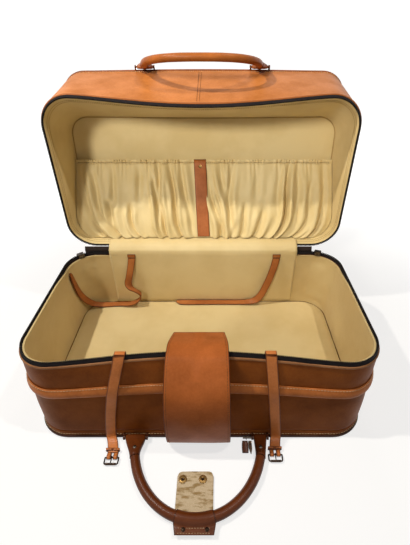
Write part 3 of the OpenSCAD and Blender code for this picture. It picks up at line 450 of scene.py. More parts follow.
suede = new_material("worn_suede")
place = add(suede, "TexCoord").outputs["Object"]
banded = add(suede, "Mapping", Vector=place, Scale=(55, 170, 55))
worn = add(suede, "TexNoise", Vector=banded.outputs[0], Scale=1.0, Detail=5.0, Roughness=0.62)
patch = add(suede, "MapRange", Value=worn.outputs["Fac"], From_Min=0.5, From_Max=0.62)
nap = add(suede, "TexNoise", Vector=place, Scale=1000 / 0.9, Detail=2.0)
tint = add(suede, "Mix", {"data_type": "RGBA"}, i0=patch.outputs[0], i6=srgb("#ead9ba"), i7=srgb("#b39766"))
dusty = add(suede, "Mix", {"data_type": "RGBA", "blend_type": "MULTIPLY"}, i0=nap.outputs["Fac"],
            i6=tint.outputs[2], i7=srgb("#cdbb9c"))
fuzz = add(suede, "Bump", Height=nap.outputs["Fac"], Strength=0.5, Distance=0.0006)
split = add(suede, "BsdfPrincipled", Base_Color=dusty.outputs[2], Roughness=0.95, Normal=fuzz.outputs[0])
split.inputs["Sheen Weight"].default_value = 0.35
close_material(suede, split.outputs[0])


def ribbed(name, light, dark, rib_mm=1.6, rough=0.8):
    tape = new_material(name)
    place = add(tape, "TexCoord").outputs["Object"]
    ribs = add(tape, "TexVoronoi", Vector=place, Scale=1000 / rib_mm, Randomness=0.4)
    lint = add(tape, "TexNoise", Vector=place, Scale=1 / 0.02, Detail=4.0)
    tone = add(tape, "Mix", {"data_type": "RGBA"}, i0=lint.outputs["Fac"], i6=srgb(dark), i7=srgb(light))
    bump = add(tape, "Bump", Height=ribs.outputs["Distance"], Strength=0.5, Distance=0.0005)
    end = add(tape, "BsdfPrincipled", Base_Color=tone.outputs[2], Roughness=rough, Normal=bump.outputs[0])
    end.inputs["Specular IOR Level"].default_value = 0.12
    return close_material(tape, end.outputs[0])


zip_tape = ribbed("ribbed_cotton_tape", "#211c1d", "#100d0d")
gusset_cloth = ribbed("dark_cotton_tape", "#3b302a", "#231b17")
coil = ribbed("nylon_zip_coil", "#1c1614", "#0c0908", rib_mm=0.8, rough=0.42)
thread = ribbed("waxed_linen_thread", "#e6cba2", "#c09a6a", rib_mm=0.6, rough=0.6)
lining_thread = ribbed("cotton_lining_thread", "#ab8a50", "#8c6c3a", rib_mm=0.6, rough=0.8)
dark_thread = ribbed("waxed_brown_thread", "#8a5c34", "#5c371c", rib_mm=0.6, rough=0.6)
print("cloths ready")

# %% [markdown]
# ## Metal
# The small fittings are cast brass, plated and long since tarnished: bright only where fingers rub
# them. A metal keeps the default IOR. The colour runs between clean and brown metal with a 4 mm
# noise, and the brown parts are rougher.

# %% Metal
def old_metal(name, clean, tarnish, bright=0.28, dull=0.5):
    metal = new_material(name)
    place = add(metal, "TexCoord").outputs["Object"]
    spots = add(metal, "TexNoise", Vector=place, Scale=1 / 0.004, Detail=4.0, Roughness=0.65)
    share = add(metal, "MapRange", Value=spots.outputs["Fac"], From_Min=0.4, From_Max=0.62)
    tone = add(metal, "Mix", {"data_type": "RGBA"}, i0=share.outputs[0], i6=srgb(clean), i7=srgb(tarnish))
    matt = add(metal, "MapRange", Value=share.outputs[0], To_Min=bright, To_Max=dull)
    scuff = add(metal, "Bump", Height=spots.outputs["Fac"], Strength=0.15, Distance=0.0002)
    cast = add(metal, "BsdfPrincipled", Base_Color=tone.outputs[2], Roughness=matt.outputs[0],
               Normal=scuff.outputs[0])
    cast.inputs["Metallic"].default_value = 1.0
    return close_material(metal, cast.outputs[0])


brass = old_metal("tarnished_brass", "#b08d57", "#6b4e2a")
gunmetal = old_metal("worn_plated_zinc", "#6f675e", "#37302a")
dark_steel = old_metal("browned_steel", "#46372c", "#211812", bright=0.36)
print("metals ready")

# %% [markdown]
# ## Walls of the base
# A padded leather wall is sewn to a dark welt at the bottom and to a pale binding at the top. One
# closed profile runs up the outside, over the lip and down the inside, and is carried round the
# ring. A crease lies 16 mm above the ground, and the slack leather swells a little between seams,
# which is done by moving each point along the outline's own outward direction.

# %% Carry a profile round the outline
def pushed(point, u, inset, z, out):
    here, inner = Vector(point(u, inset, z)), Vector(point(u, inset + 1, z))
    return here + (here - inner) * out


def ring_piece(name, profile, point, material, body, stands_for=(), swell=None):
    """profile is a closed list of (inset, height); swell(u, inset, height) pushes outwards."""
    count = len(profile)

    def shape(u, v):
        inset, z = profile[round(v * count) % count]
        return pushed(point, u, inset, z, swell(u, inset, z) if swell else 0)
    bm = bent_grid(shape, RING_N, count, round_across=True, round_along=True)
    return put_in_scene(finished(bm, name), name, material, body, stands_for)


def soft_wall(u, inset, z):
    if inset > 2:
        return 0
    x, y, _ = base_point(u, inset, z)
    puff = 0.9 * math.sin(math.pi * (z - 20) / 78) if 20 < z < 98 else 0
    puff += 0.5 * math.sin(math.pi * (z - 120) / 40) if 120 < z < 160 else 0
    calm = min(1, max(0, (z - 8) / 20), max(0, (162 - z) / 14))
    return puff + calm * (0.9 * rough(x, y, z, 75, 3) + 0.3 * rough(x, y, z, 24, 8))


wall_up = [5.4, 8, 11, 13.6, 15, 16, 17, 18.6, 22, 28, 36, 44, 52, 60, 68, 76, 84, 92, 98, 104, 112, 120,
           126, 132, 138, 144, 150, 156, 161, 165]
wall_inset = {15: 0.5, 16: 1.1, 17: 0.5}
base_profile = ([(wall_inset.get(z, 0), z) for z in wall_up] + [(0.8, WALL_TOP - 0.3), (2.5, WALL_TOP),
        (4.2, WALL_TOP - 0.3),
                (WALL_T, WALL_TOP - 1.2), (WALL_T, 120), (WALL_T, 60), (WALL_T, 6), (2.5, 5.2)])
base_leather = ring_piece("base_leather", base_profile, base_point, base_hide, "base", ["base_shell"],
                          soft_wall)
print("base wall", len(base_leather.data.vertices), "points")

# %% Welt, stitched roll, binding, tape
def round_profile(inset, z, across, up, steps=14, power=2.0):
    """A rounded section centred on (inset, z)."""
    made = []
    for i in range(steps):
        a = 2 * math.pi * i / steps
        c, s = math.cos(a), math.sin(a)
        made.append((inset + across * math.copysign(abs(c) ** (2 / power), c),
                     z + up * math.copysign(abs(s) ** (2 / power), s)))
    return made


ring_piece("bottom_piping", round_profile(-0.4, 3.3, 2.1, 2.6), base_point, welt_hide, "base", ["base_welt"])
roll_profile = [(-0.2, 100.4), (-0.2, 118.6), (-0.9, 119.4), (-1.7, 118.8), (-2.3, 117), (-3.3, 114.6),
                (-4.4, 111.8),
                (-5.0, 108.8), (-5.1, 106), (-4.7, 103.4), (-3.7, 101.3), (-2.2, 100.2), (-1.0, 100)]
ring_piece("stitched_roll", roll_profile, base_point, leather("roll_hide", "#cf7a3c", "#ab632c",
        wax_level=0.2), "base", ["base_roll"],
           lambda u, i, z: 0.35 * rough(*base_point(u, 0, 100), 30, 5) if i < -1 else 0)
ring_piece("rim_binding", [(0.4, 163.9), (-0.4, 163.8), (-1.1, 164.6), (-1.4, 166), (-1.2, 167.6),
                           (-0.4, 168.5), (0.3, 168.6),
                           (0.7, 168.2), (0.7, 166.8)], base_point, binding_hide, "base", ["base_binding"])
ring_piece("base_zip_tape", [(5.1, TAPE_Z), (5.1, TAPE_Z + 5.6), (4.5, TAPE_Z + 6.6), (3.6, TAPE_Z + 6.7),
                             (2.2, TAPE_Z + 6.6),
                             (1.4, TAPE_Z + 5.4), (0.9, TAPE_Z + 3), (0.8, TAPE_Z)], base_point, zip_tape,
                             "base",
           ["base_tape"])
print("edge trims done")

# %% [markdown]
# ## Zip teeth
# A coil zip shows as a row of close humps. Each hump is a small block, and a real pitch of 1.4 mm
# would melt into a line, so they stand 3 mm apart here. The blocks are made with create_cube in
# one mesh and turned along the outline.

# %% Rows of zip teeth
def tooth_row(name, point, inset, z, tall, body, stands_for):
    ring = [Vector(point(i / RING_N, inset, z)) for i in range(RING_N)]
    up = (Vector(point(0, inset, z + 1)) - ring[0]).normalized()
    bm = bmesh.new()
    pitch, walked, goal = 3.0, 0.0, 0.0
    for a, b in zip(ring, ring[1:] + ring[:1]):
        span = (b - a).length
        while goal < walked + span:
            spot = a.lerp(b, (goal - walked) / span)
            ahead = (b - a).normalized()
            side = up.cross(ahead).normalized()
            turn = Matrix((ahead, side, up)).transposed().to_4x4()
            block = bmesh.ops.create_cube(bm, size=1)["verts"]
            bmesh.ops.transform(bm, verts=block,
                                matrix=Matrix.Translation(spot * MM) @ turn @ Matrix.Diagonal(
                (1.9 * MM, 2.4 * MM, tall * MM, 1)))
            goal += pitch
        walked += span
    bmesh.ops.bevel(bm, geom=bm.edges[:], offset=0.35 * MM, affect="EDGES", segments=1, profile=0.5,
                    material=-1)
    return put_in_scene(finished(bm, name), name, coil, body, stands_for)


tooth_row("base_zip_coil", base_point, 2.8, TEETH_Z + TEETH_H / 2 - 0.15, 2.2, "base", ["base_teeth"])
print("base teeth done")

# %% [markdown]
# ## Stitches
# Every seam on the case is sewn with waxed thread, about six stitches to the inch. A stitch is a
# short curve with a round bevel, and a whole row is one curve object, so it stays light and can be
# laid along any path of points.

# %% Rows of stitches
def stitches(name, path, material, body, pitch=4.4, share=0.62, radius=0.38, closed=False, as_mesh=False):
    points = [Vector(p) for p in path] + ([Vector(path[0])] if closed else [])
    lengths = [0.0]
    for a, b in zip(points, points[1:]):
        lengths.append(lengths[-1] + (b - a).length)
    total, row = lengths[-1], bpy.data.curves.new(name, "CURVE")
    row.dimensions, row.bevel_depth, row.bevel_resolution, row.use_fill_caps = "3D", radius * MM, 1, True

    def at(distance):
        i = max(k for k, far in enumerate(lengths[:-1]) if far <= distance + 1e-9) if distance > 0 else 0
        return points[i].lerp(points[i + 1], (distance - lengths[i]) / max(lengths[i + 1] - lengths[i], 1e-9))
    for k in range(max(int(total / pitch), 1)):
        start = (k + 0.5 - share / 2) * pitch
        spline = row.splines.new("POLY")
        spline.points.add(2)
        for point, far in zip(spline.points, (start, start + share * pitch / 2, start + share * pitch)):
            point.co = (*(at(min(far, total)) * MM), 1)
    row.materials.append(material)
    piece = bpy.data.objects.new(name, row)
    bpy.context.scene.collection.objects.link(piece)
    if as_mesh:
        curve_piece, view = piece, bpy.context.evaluated_depsgraph_get()
        curve_piece.name = name + "_line"
        piece = bpy.data.objects.new(name, bpy.data.meshes.new_from_object(curve_piece.evaluated_get(view)))
        bpy.context.scene.collection.objects.link(piece)
        bpy.data.objects.remove(curve_piece)
    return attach(piece, body)


stitches("roll_stitches", [pushed(base_point, i / RING_N, 0, 117.2, 2.75) for i in range(RING_N)], thread,
         "base",
         pitch=5, closed=True, radius=0.5)
stitches("welt_stitches", [pushed(base_point, i / RING_N, 0, 9, 0.45) for i in range(RING_N)], thread, "base",
         pitch=5, closed=True, radius=0.5)
print("base stitches done")

# %% [markdown]
# ## Lining and floor of the base
# The wall lining is glued over the wall and puckers a little where it turns the corners. The floor
# is a padded board under the same cloth: its edge is rolled, and its top is slack and not quite
# even. It is made as rings that shrink towards the middle.

# %% Wall lining and floor pad
def puckers(u, inset, z):
    x, y, _ = base_point(u, inset, z)
    turn = max(0, min(1, (abs(x) - 225) / 40)) * max(0, min(1, (abs(y) - 80) / 50))
    fall = 1 if z < 150 else max(0, (166 - z) / 16)
    wave = 1.5 * rough(x * 0.4, y * 0.4, z * 2.2, 30, 11) * turn * (1.6 if y > 0 else 0.6)
    return -fall * (wave + 0.8 * rough(x, y, z, 60, 4) + 0.25 * rough(x, y, z, 18, 6))


lining_down = [WALL_TOP + 4.6, WALL_TOP, 163, 158, 153, 148, 142, 136, 130, 122, 114, 106, 98, 90, 82, 74, 66,
               58, 50, 43, 37, 33, 30, 26]
lining_profile = [(WALL_T + SEAT, 24), (WALL_T + SEAT, 90), (WALL_T + SEAT, 150),
                  (WALL_T + SEAT, WALL_TOP + 5),
                  (6.6, WALL_TOP + 5.4)] + [(LINING_IN - 0.1, z) for z in lining_down]


def lining_push(u, inset, z):
    return puckers(u, inset, z) - 0.4 if inset > 7 else 0


def lining_point(u, inset, z):
    """The lining stands up behind the tape, but stays low at the back, where the sliders run."""
    x, y, _ = base_point(u, inset, z)
    low = min(max((y - 40) / 50, 0), 1) * max(z - WALL_TOP + 0.6, 0)
    return (x, y, z - low)


ring_piece("base_lining", lining_profile, lining_point, cream_wall, "base", ["base_wall_lining"],
           lining_push)


def floor_shape(u, v):
    """v runs over the top from the middle to the rim, round the edge and back under it."""
    inset = LINING_IN + 1.4
    x, y, _ = base_point(u, inset, FLOOR_Z - 4)
    if v < 0.6:
        s = v / 0.6
        reach = math.sin(s * math.pi / 2) * 0.988
        z = FLOOR_Z - 0.4 - 6 * max(0, (reach - 0.955) / 0.033) ** 2.2 * 0.35
        z += 0.45 * rough(x * reach, y * reach, 0, 70, 21) - 0.3
        return (x * reach, y * reach, z)
    t = (v - 0.6) / 0.4
    reach = 1 if t < 0.5 else 1 - (t - 0.5) / 0.5
    return (x * reach, y * reach, lerp(FLOOR_Z - 4, 6, min(t / 0.4, 1)))


bm = bent_grid(floor_shape, RING_N, 40, round_across=True)
bmesh.ops.remove_doubles(bm, verts=bm.verts, dist=1e-5)
floor_pad = put_in_scene(finished(bm, "floor_pad"), "floor_pad", cream, "base", ["base_floor_pad"])
print("lining and floor done")

# %% [markdown]
# ## Straps, flaps and other strips
# A leather strip is a long slab whose edges were bevelled and creased with a hot iron. A curve with
# a flat bevel could make it, but a bent grid keeps the crease and the distance from the edge as
# data for the finish. Its stops are the places that the source names: a centre, the direction of
# the width, and the width.

# %% Strips along stops
def slab_section(width, thick, crease=True):
    """Points (across, up, from edge) round the section of a strip, starting at its left edge."""
    half = [(0, 0), (0.3, 0.36), (0.9, 0.5), (1.8, 0.5), (2.3, 0.40 if crease else 0.5), (2.8, 0.5),
            (5, 0.52)]
    fit = min(1, width / 11)
    left = [(d * fit - width / 2, b * thick, d * fit) for d, b in half]
    right = [(-x, b, d) for x, b, d in reversed(left)]
    top = left + [(0, 0.53 * thick, width / 2)] + right
    below = [(x, -min(b, 0.5 * thick), d) for x, b, d in reversed(top[1:-1])]
    return top + below


def strip_frames(stops, steps):
    path = smooth_path(stops, steps)
    frames, walked = [], 0.0
    for i, stop in enumerate(path):
        here = Vector(stop[:3])
        before, after = Vector(path[max(i - 1, 0)][:3]), Vector(path[min(i + 1, len(path) - 1)][:3])
        walked += (here - before).length
        wide = Vector(stop[3:6]).normalized()
        frames.append((here, wide, (after - before).cross(wide).normalized(), stop[6], walked))
    return frames


def strip(name, stops, thick, material, body, stands_for=(), steps=6, face=1, crease=True,
          mesh_only=False):
    frames = strip_frames(stops, steps)
    count, last = len(slab_section(20, thick)), len(frames) - 1
    total = frames[-1][4]

    def place(u, v):
        here, wide, normal, width, _ = frames[round(v * last)]
        x, up, _ = slab_section(width, thick, crease)[round(u * count) % count]
        return here + wide * x * face + normal * up * face

    def edge(u, v):
        frame_now = frames[round(v * last)]
        d = slab_section(frame_now[3], thick)[round(u * count) % count][2]
        return min(d, frame_now[4] + 0.3, total - frame_now[4] + 0.3)
    bm = bent_grid(place, count, last, round_across=True, fill=True, edge=edge, size=(0.03, total * MM))
    if mesh_only:
        return bm
    return put_in_scene(finished(bm, name), name, material, body, stands_for)


def strip_line(stops, thick, from_edge, side, steps=6, face=1, trim=(0, 0)):
    """A path on the upper face of a strip, from_edge millimetres in from its left or right edge."""
    frames = strip_frames(stops, steps)
    frames = frames[trim[0]:len(frames) - trim[1]]
    return [h + w * side * (width / 2 - from_edge) * face + n * (thick * 0.5 + 0.08) * face
            for h, w, n, width, _ in frames]


def drape(name, path, x0, x1, columns, thick, material, body, stands_for, ripple=None, steps=5,
          offset=0.0,
          edge_dark=False):
    """A wide sheet whose section across the case is path, a list of (y, z)."""
    line = smooth_path(path, steps)
    last = len(line) - 1

    def shape(u, v):
        i = round(v * last)
        y, z = line[i]
        a, b = line[max(i - 1, 0)], line[min(i + 1, last)]
        run = Vector((0, b[0] - a[0], b[1] - a[1])).normalized()
        x = lerp(x0, x1, u)
        return Vector((x, y, z)) + run.cross(Vector((1, 0, 0))) * (ripple(x, u, v) if ripple else 0)
    bm = bent_grid(shape, columns, last, edge=(lambda u, v: min(u, 1 - u) * (x1 - x0)) if edge_dark else None)
    return put_in_scene(finished(bm, name), name, material, body, stands_for, thick=thick,
                        offset=offset)


print("strip helpers ready")

# %% [markdown]
# ## The hinge
# There is no metal hinge. A leather strip outside and a cloth flap inside are sewn to both halves,
# with short tape gussets at the ends. They have to bend when the lid moves, so each one follows the
# base at one edge, the lid at the other, and turns smoothly in between.

# %% Hinge strip, inner flap and gussets
def back_y(z, inset):
    return base_hd(z) - inset


HALF = 212
outer_strip = drape("hinge_leather", [(back_y(138, -1.2), 138), (back_y(150, -1.2), 150),
                                      (HINGE_Y - 3, HINGE_Z - 22),
                    (HINGE_Y - 2.6, HINGE_Z - 12), (HINGE_Y - 1.5, HINGE_Z - 5),
                    (HINGE_Y + 1.5, HINGE_Z - 2.3),
                    (HINGE_Y + 7, HINGE_Z - 1.7), (HINGE_Y + 13, HINGE_Z - 0.8),
                    (HINGE_Y + 28, HINGE_Z + 0.6)],
                    -HALF, HALF, 60, 1.5, tan_hide, None, ["hinge_strip"],
                    lambda x, u, v: 0.25 * rough(x, 0, v * 60, 26, 2), edge_dark=True)
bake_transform(outer_strip)
FLAP_SEAT = LINING_IN + 1.25


def flap_ripple(x, u, v):
    corner = max(0, 1 - (x + HALF) / 60) + max(0, 1 - (HALF - x) / 60)
    fold = 0.5 * math.exp(-((v - 0.62) / 0.03) ** 2)
    return -(0.5 * rough(x, v * 180, 0, 50, 7) + 0.7 * corner * rough(x, v * 300, 0, 18, 9) + fold)


inner_flap = drape("hinge_cloth", [(back_y(FLOOR_Z, FLAP_SEAT), FLOOR_Z + 2), (back_y(60, FLAP_SEAT), 60),
                                   (back_y(90, FLAP_SEAT), 90),
                   (back_y(120, FLAP_SEAT), 120), (back_y(150, FLAP_SEAT), 150),
                   (back_y(163, FLAP_SEAT), BASE_H - 12),
                   (HINGE_Y - 16.5, BASE_H - 4), (HINGE_Y - 16, BASE_H + 3), (HINGE_Y - 13, HINGE_Z + 1.5),
                   (HINGE_Y - 8, HINGE_Z + 6.5),
                   (HINGE_Y - 1, HINGE_Z + 10), (HINGE_Y + 6, HINGE_Z + 11.2),
                   (HINGE_Y + 12, HINGE_Z + 11.3)],
                   -HALF - 3, HALF - 1, 84, 1.2, cream, None, ["hinge_flap"], flap_ripple)
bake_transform(inner_flap)
for side, x0, x1 in ((-1, -HALF - 60, -HALF - 2), (1, HALF + 1, HALF + 34)):
    gusset = drape("gusset_left" if side < 0 else "gusset_right",
                   [(back_y(169, -1.4), BASE_H - 7), (HINGE_Y - 6.1, BASE_H + 1),
                   (HINGE_Y - 4.6, BASE_H + 6), (HINGE_Y - 3, HINGE_Z + 1)], x0, x1, 16, 1.2, gusset_cloth,
                   None,
                   ["hinge_gussets"], lambda x, u, v: 0.5 * rough(x, v * 10, 0, 9, 3))
    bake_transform(gusset)
print("hinge pieces bend between base and lid")

# %% [markdown]
# ## Wide flap
# A broad leather flap is sewn under the base, comes up in front of the wall and lies over the rim.
# It is one heavy strip with a creased and stitched border. When the lid shuts, a real flap is
# pushed forward and squashed flat in front of the rim; here it keeps its open shape.

# %% Wide flap
FLAP_T = 2.8
rim_front = front_y(0, BASE_H)
flap_path = [(-base_hd(0) - 4, 2.2), (-base_hd(0) - 16, 12), (-base_hd(0) - 26, 40),
             (-base_hd(0) - 31, BASE_H - 95),
             (-base_hd(0) - 30, BASE_H - 65), (-base_hd(0) - 23, BASE_H - 38), (rim_front - 41, BASE_H - 15),
             (rim_front - 25, BASE_H), (rim_front - 9, BASE_H + 6.4), (rim_front + 18, BASE_H + 4),
             (rim_front + 60, BASE_H - 15)]
flap_stops = [(-2, y, z, 1, 0, 0, lerp(110, 98, i / 10) - (8 if i == 10 else 0)) for i,
              (y, z) in enumerate(flap_path)]


def bend_flap(bm):
    """The middle of the flap is slack between its stiffer borders."""
    for point in bm.verts:
        x = point.co.x / MM + 2
        bow = 1 - min(abs(x) / 52, 1) ** 2
        wave = 0.8 * rough(x, point.co.y / MM, point.co.z / MM, 55, 31) * bow
        point.co += Vector((0, -0.8 * bow + wave, 0.5 * wave)) * MM
    return bm


wide_columns = strip("wide_flap", flap_stops, FLAP_T, flap_hide, "base", steps=10, face=-1, mesh_only=True)
bmesh.ops.bisect_plane(wide_columns,
                       geom=wide_columns.verts[:] + wide_columns.edges[:] + wide_columns.faces[:],
                       plane_co=(-0.002, 0, 0), plane_no=(1, 0, 0))
for cut in (-0.040, -0.028, -0.015, 0.011, 0.024, 0.036):
    bmesh.ops.bisect_plane(wide_columns,
                           geom=wide_columns.verts[:] + wide_columns.edges[:] + wide_columns.faces[:],
                           plane_co=(cut, 0, 0), plane_no=(1, 0, 0))
wide_flap = put_in_scene(finished(bend_flap(wide_columns), "saddle_flap"), "saddle_flap", flap_hide, "base",
                         ["wide_flap"])
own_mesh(wide_flap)
for rim_side in (-1, 1):
    line = strip_line(flap_stops, FLAP_T, 4.2, rim_side, steps=10, face=-1, trim=(4, 3))
    row = stitches("flap_stitches_" + "lr"[rim_side > 0], line, dark_thread, "base", pitch=4.6, radius=0.45,
                   as_mesh=True)
    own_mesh(row)
print("wide flap", len(wide_flap.data.vertices), "points")

# %% [markdown]
# ## Packing straps
# Two soft straps hang from patches on the back wall and lie on the floor, one of them kinked and
# climbing the left wall. Their stops are those of the source.

# %% Rear packing straps
STRAP_T = 2.2
REAR_X, REAR_W = 165, 17
ry, rz = back_y(162, FLAP_SEAT) - 0.75 - STRAP_T / 2 - 0.6, BASE_H - 13
on_floor = FLOOR_Z + STRAP_T / 2 + 0.6
right_stops = [(REAR_X, ry, rz, 1, 0, 0, REAR_W), (REAR_X - 4, ry - 2.4, BASE_H - 35, 1, 0, -0.1, REAR_W),
               (REAR_X - 12, ry - 5, BASE_H - 65, 1, -0.05, -0.25, REAR_W),
               (REAR_X - 22, ry - 6, FLOOR_Z + 51, 0.95, -0.1, -0.3, REAR_W),
               (REAR_X - 31, ry - 5, FLOOR_Z + 27, 0.85, -0.35, -0.45, REAR_W),
               (REAR_X - 43, ry - 3, FLOOR_Z + 12, 0.6, -0.7, -0.4, REAR_W),
               (REAR_X - 60, ry - 1, FLOOR_Z + 5, 0.25, -0.95, -0.15, REAR_W),
               (REAR_X - 80, ry + 1, on_floor, 0, -1, 0, REAR_W),
               (REAR_X - 115, ry + 1, on_floor, 0, -1, 0, REAR_W),
               (REAR_X - 165, ry + 1, on_floor, 0, -1, 0, REAR_W),
               (REAR_X - 222, ry + 1, on_floor, 0, -1, 0, REAR_W),
               (REAR_X - 236, ry + 5, on_floor, 0, -1, 0, 5)]
side_x = -base_hw(FLOOR_Z) + LINING_IN
left_stops = [(-REAR_X, ry, rz, 1, 0, 0, REAR_W), (-REAR_X - 4, ry - 2.4, BASE_H - 35, 1, 0, 0.1, REAR_W),
              (-REAR_X - 10, ry - 4.4, BASE_H - 60, 1, 0, 0.12, REAR_W),
              (-REAR_X - 15, ry - 5, FLOOR_Z + 66, 0.95, 0.25, 0, REAR_W),
              (-REAR_X - 11, ry - 7, FLOOR_Z + 53, 0.5, 0.85, -0.1, REAR_W),
              (-REAR_X + 1, ry - 8, FLOOR_Z + 45, 0.05, 1, -0.2, REAR_W),
              (-REAR_X + 11, ry - 9, FLOOR_Z + 37, -0.1, 1, -0.1, REAR_W),
              (-REAR_X + 12, ry - 10, FLOOR_Z + 27, -0.1, 1, -0.1, REAR_W),
              (-REAR_X + 3, ry - 10, FLOOR_Z + 16, -0.1, 1, 0, REAR_W),
              (-REAR_X - 15, ry - 9, FLOOR_Z + 6, -0.05, 1, 0, REAR_W),
              (-REAR_X - 42, ry - 5, on_floor, 0, 1, 0, REAR_W),
              (-REAR_X - 67, ry - 7, on_floor, 0.1, 1, 0.05, REAR_W),
              (side_x + 33, ry - 12, FLOOR_Z + 6, 0.3, 0.9, 0.15, REAR_W),
              (side_x + 18, ry - 18, FLOOR_Z + 14, 0.4, 0.9, 0.1, REAR_W),
              (side_x + 8, ry - 29, FLOOR_Z + 34, 0.4, 0.9, 0.05, REAR_W),
              (side_x + 2.5, ry - 41, FLOOR_Z + 62, 0.15, 1, 0, REAR_W),
              (side_x - 0.5, ry - 48, FLOOR_Z + 94, 0, 1, 0, REAR_W),
              (side_x - 2, ry - 53, FLOOR_Z + 121, 0, 1, 0, REAR_W - 4),
              (side_x - 2.6, ry - 55, FLOOR_Z + 130, 0, 1, 0, 4)]
strip("packing_strap_right", right_stops, STRAP_T, packing_hide, "rear_strap_right", ["rear_strap_right"],
      steps=5)
strip("packing_strap_left", left_stops, STRAP_T, packing_hide, "rear_strap_left", ["rear_strap_left"],
      steps=5)
for side in (-1, 1):
    patch = [(side * REAR_X, ry, z, 1, 0, 0, 18) for z in (rz + 1.6, rz + 4, rz + 7, rz + 9.4)]
    strip("strap_patch_" + ("left" if side < 0 else "right"), patch, 2.1, packing_hide, "base",
          ["rear_strap_tabs"], steps=2, face=-1)
print("rear straps", len(right_stops), "and", len(left_stops), "stops")

# %% [markdown]
# ## Front straps and buckles
# Each front strap comes out over the zip, runs down the wall over the roll and ends round the bar
# of a small dark buckle, which lies on the ground in front. The end is split into two tongues that
# leave room for the prong.

# %% Front straps
FRONT_W, BUCKLE_W, BUCKLE_L = 18.5, 25, 14
front_x = [(-126, -155, -147), (115.5, 131.5, 127.5)]  # at the rim, at the foot and at the buckle
kick = base_hd(0) - 174
swing = (1.6, 1.1)
bar_at = [(-147, -213 - kick, 4.0), (127.5, -208 - kick, 4.0)]
top_z = TEETH_Z + TEETH_H + STRAP_T / 2 + 0.5


def front_stops(k):
    top, foot, end = front_x[k]
    roll_out = 5.2

    def slope(x, z):
        return (front_y(x + 5, z) - front_y(x - 5, z)) / 10
    made = [(top, front_y(top, BASE_H) - STRAP_T / 2 - 0.2, top_z, 1, slope(top, BASE_H), 0, FRONT_W)]
    for off, z in ((3.4, BASE_H - 8), (4.4, BASE_H - 24), (5.4, 134), (STRAP_T / 2 + roll_out + 0.7, 117),
                   (STRAP_T / 2 + roll_out + 0.7, 103), (5.6, 86), (5, 60), (4.6, 26),
                   (STRAP_T / 2 + 4.5, 11)):
        x = top + (foot - top) * (1 - ((z - 11) / (BASE_H - 11)) ** swing[k])
        made.append((x, front_y(x, z) - off, z, 1, slope(x, z), 0, FRONT_W))
    for share, y, z in ((0.3, -184, 7), (0.7, -194, 5.4)):
        made.append((lerp(foot, end, share), y - kick, z, 1, 0, 0, FRONT_W))
    return made + [(end, bar_at[k][1] + 7.5, 4.9, 1, 0, 0, FRONT_W)]


def tube(name, path, radius, sides, material, body, stands_for=(), flat=1.0, up=(0, 0, 1),
         closed=False):
    """A round piece along a path. radius is a number or a function of the share along."""
    points = [Vector(p) for p in path]
    last = len(points) if closed else len(points) - 1

    def shape(u, v):
        i = round(v * last)
        a = points[(i - 1) % len(points)] if closed else points[max(i - 1, 0)]
        b = points[(i + 1) % len(points)] if closed else points[min(i + 1, last)]
        ahead = (b - a).normalized()
        side = ahead.cross(Vector(up)).normalized()
        r = radius(v) if callable(radius) else radius
        turn = 2 * math.pi * u
        return (points[i % len(points)] + side * r * math.cos(turn)
                + side.cross(ahead).normalized() * r * flat * math.sin(turn))
    bm = bent_grid(shape, sides, last, round_across=True, round_along=closed, fill=not closed)
    return put_in_scene(finished(bm, name), name, material, body, stands_for)


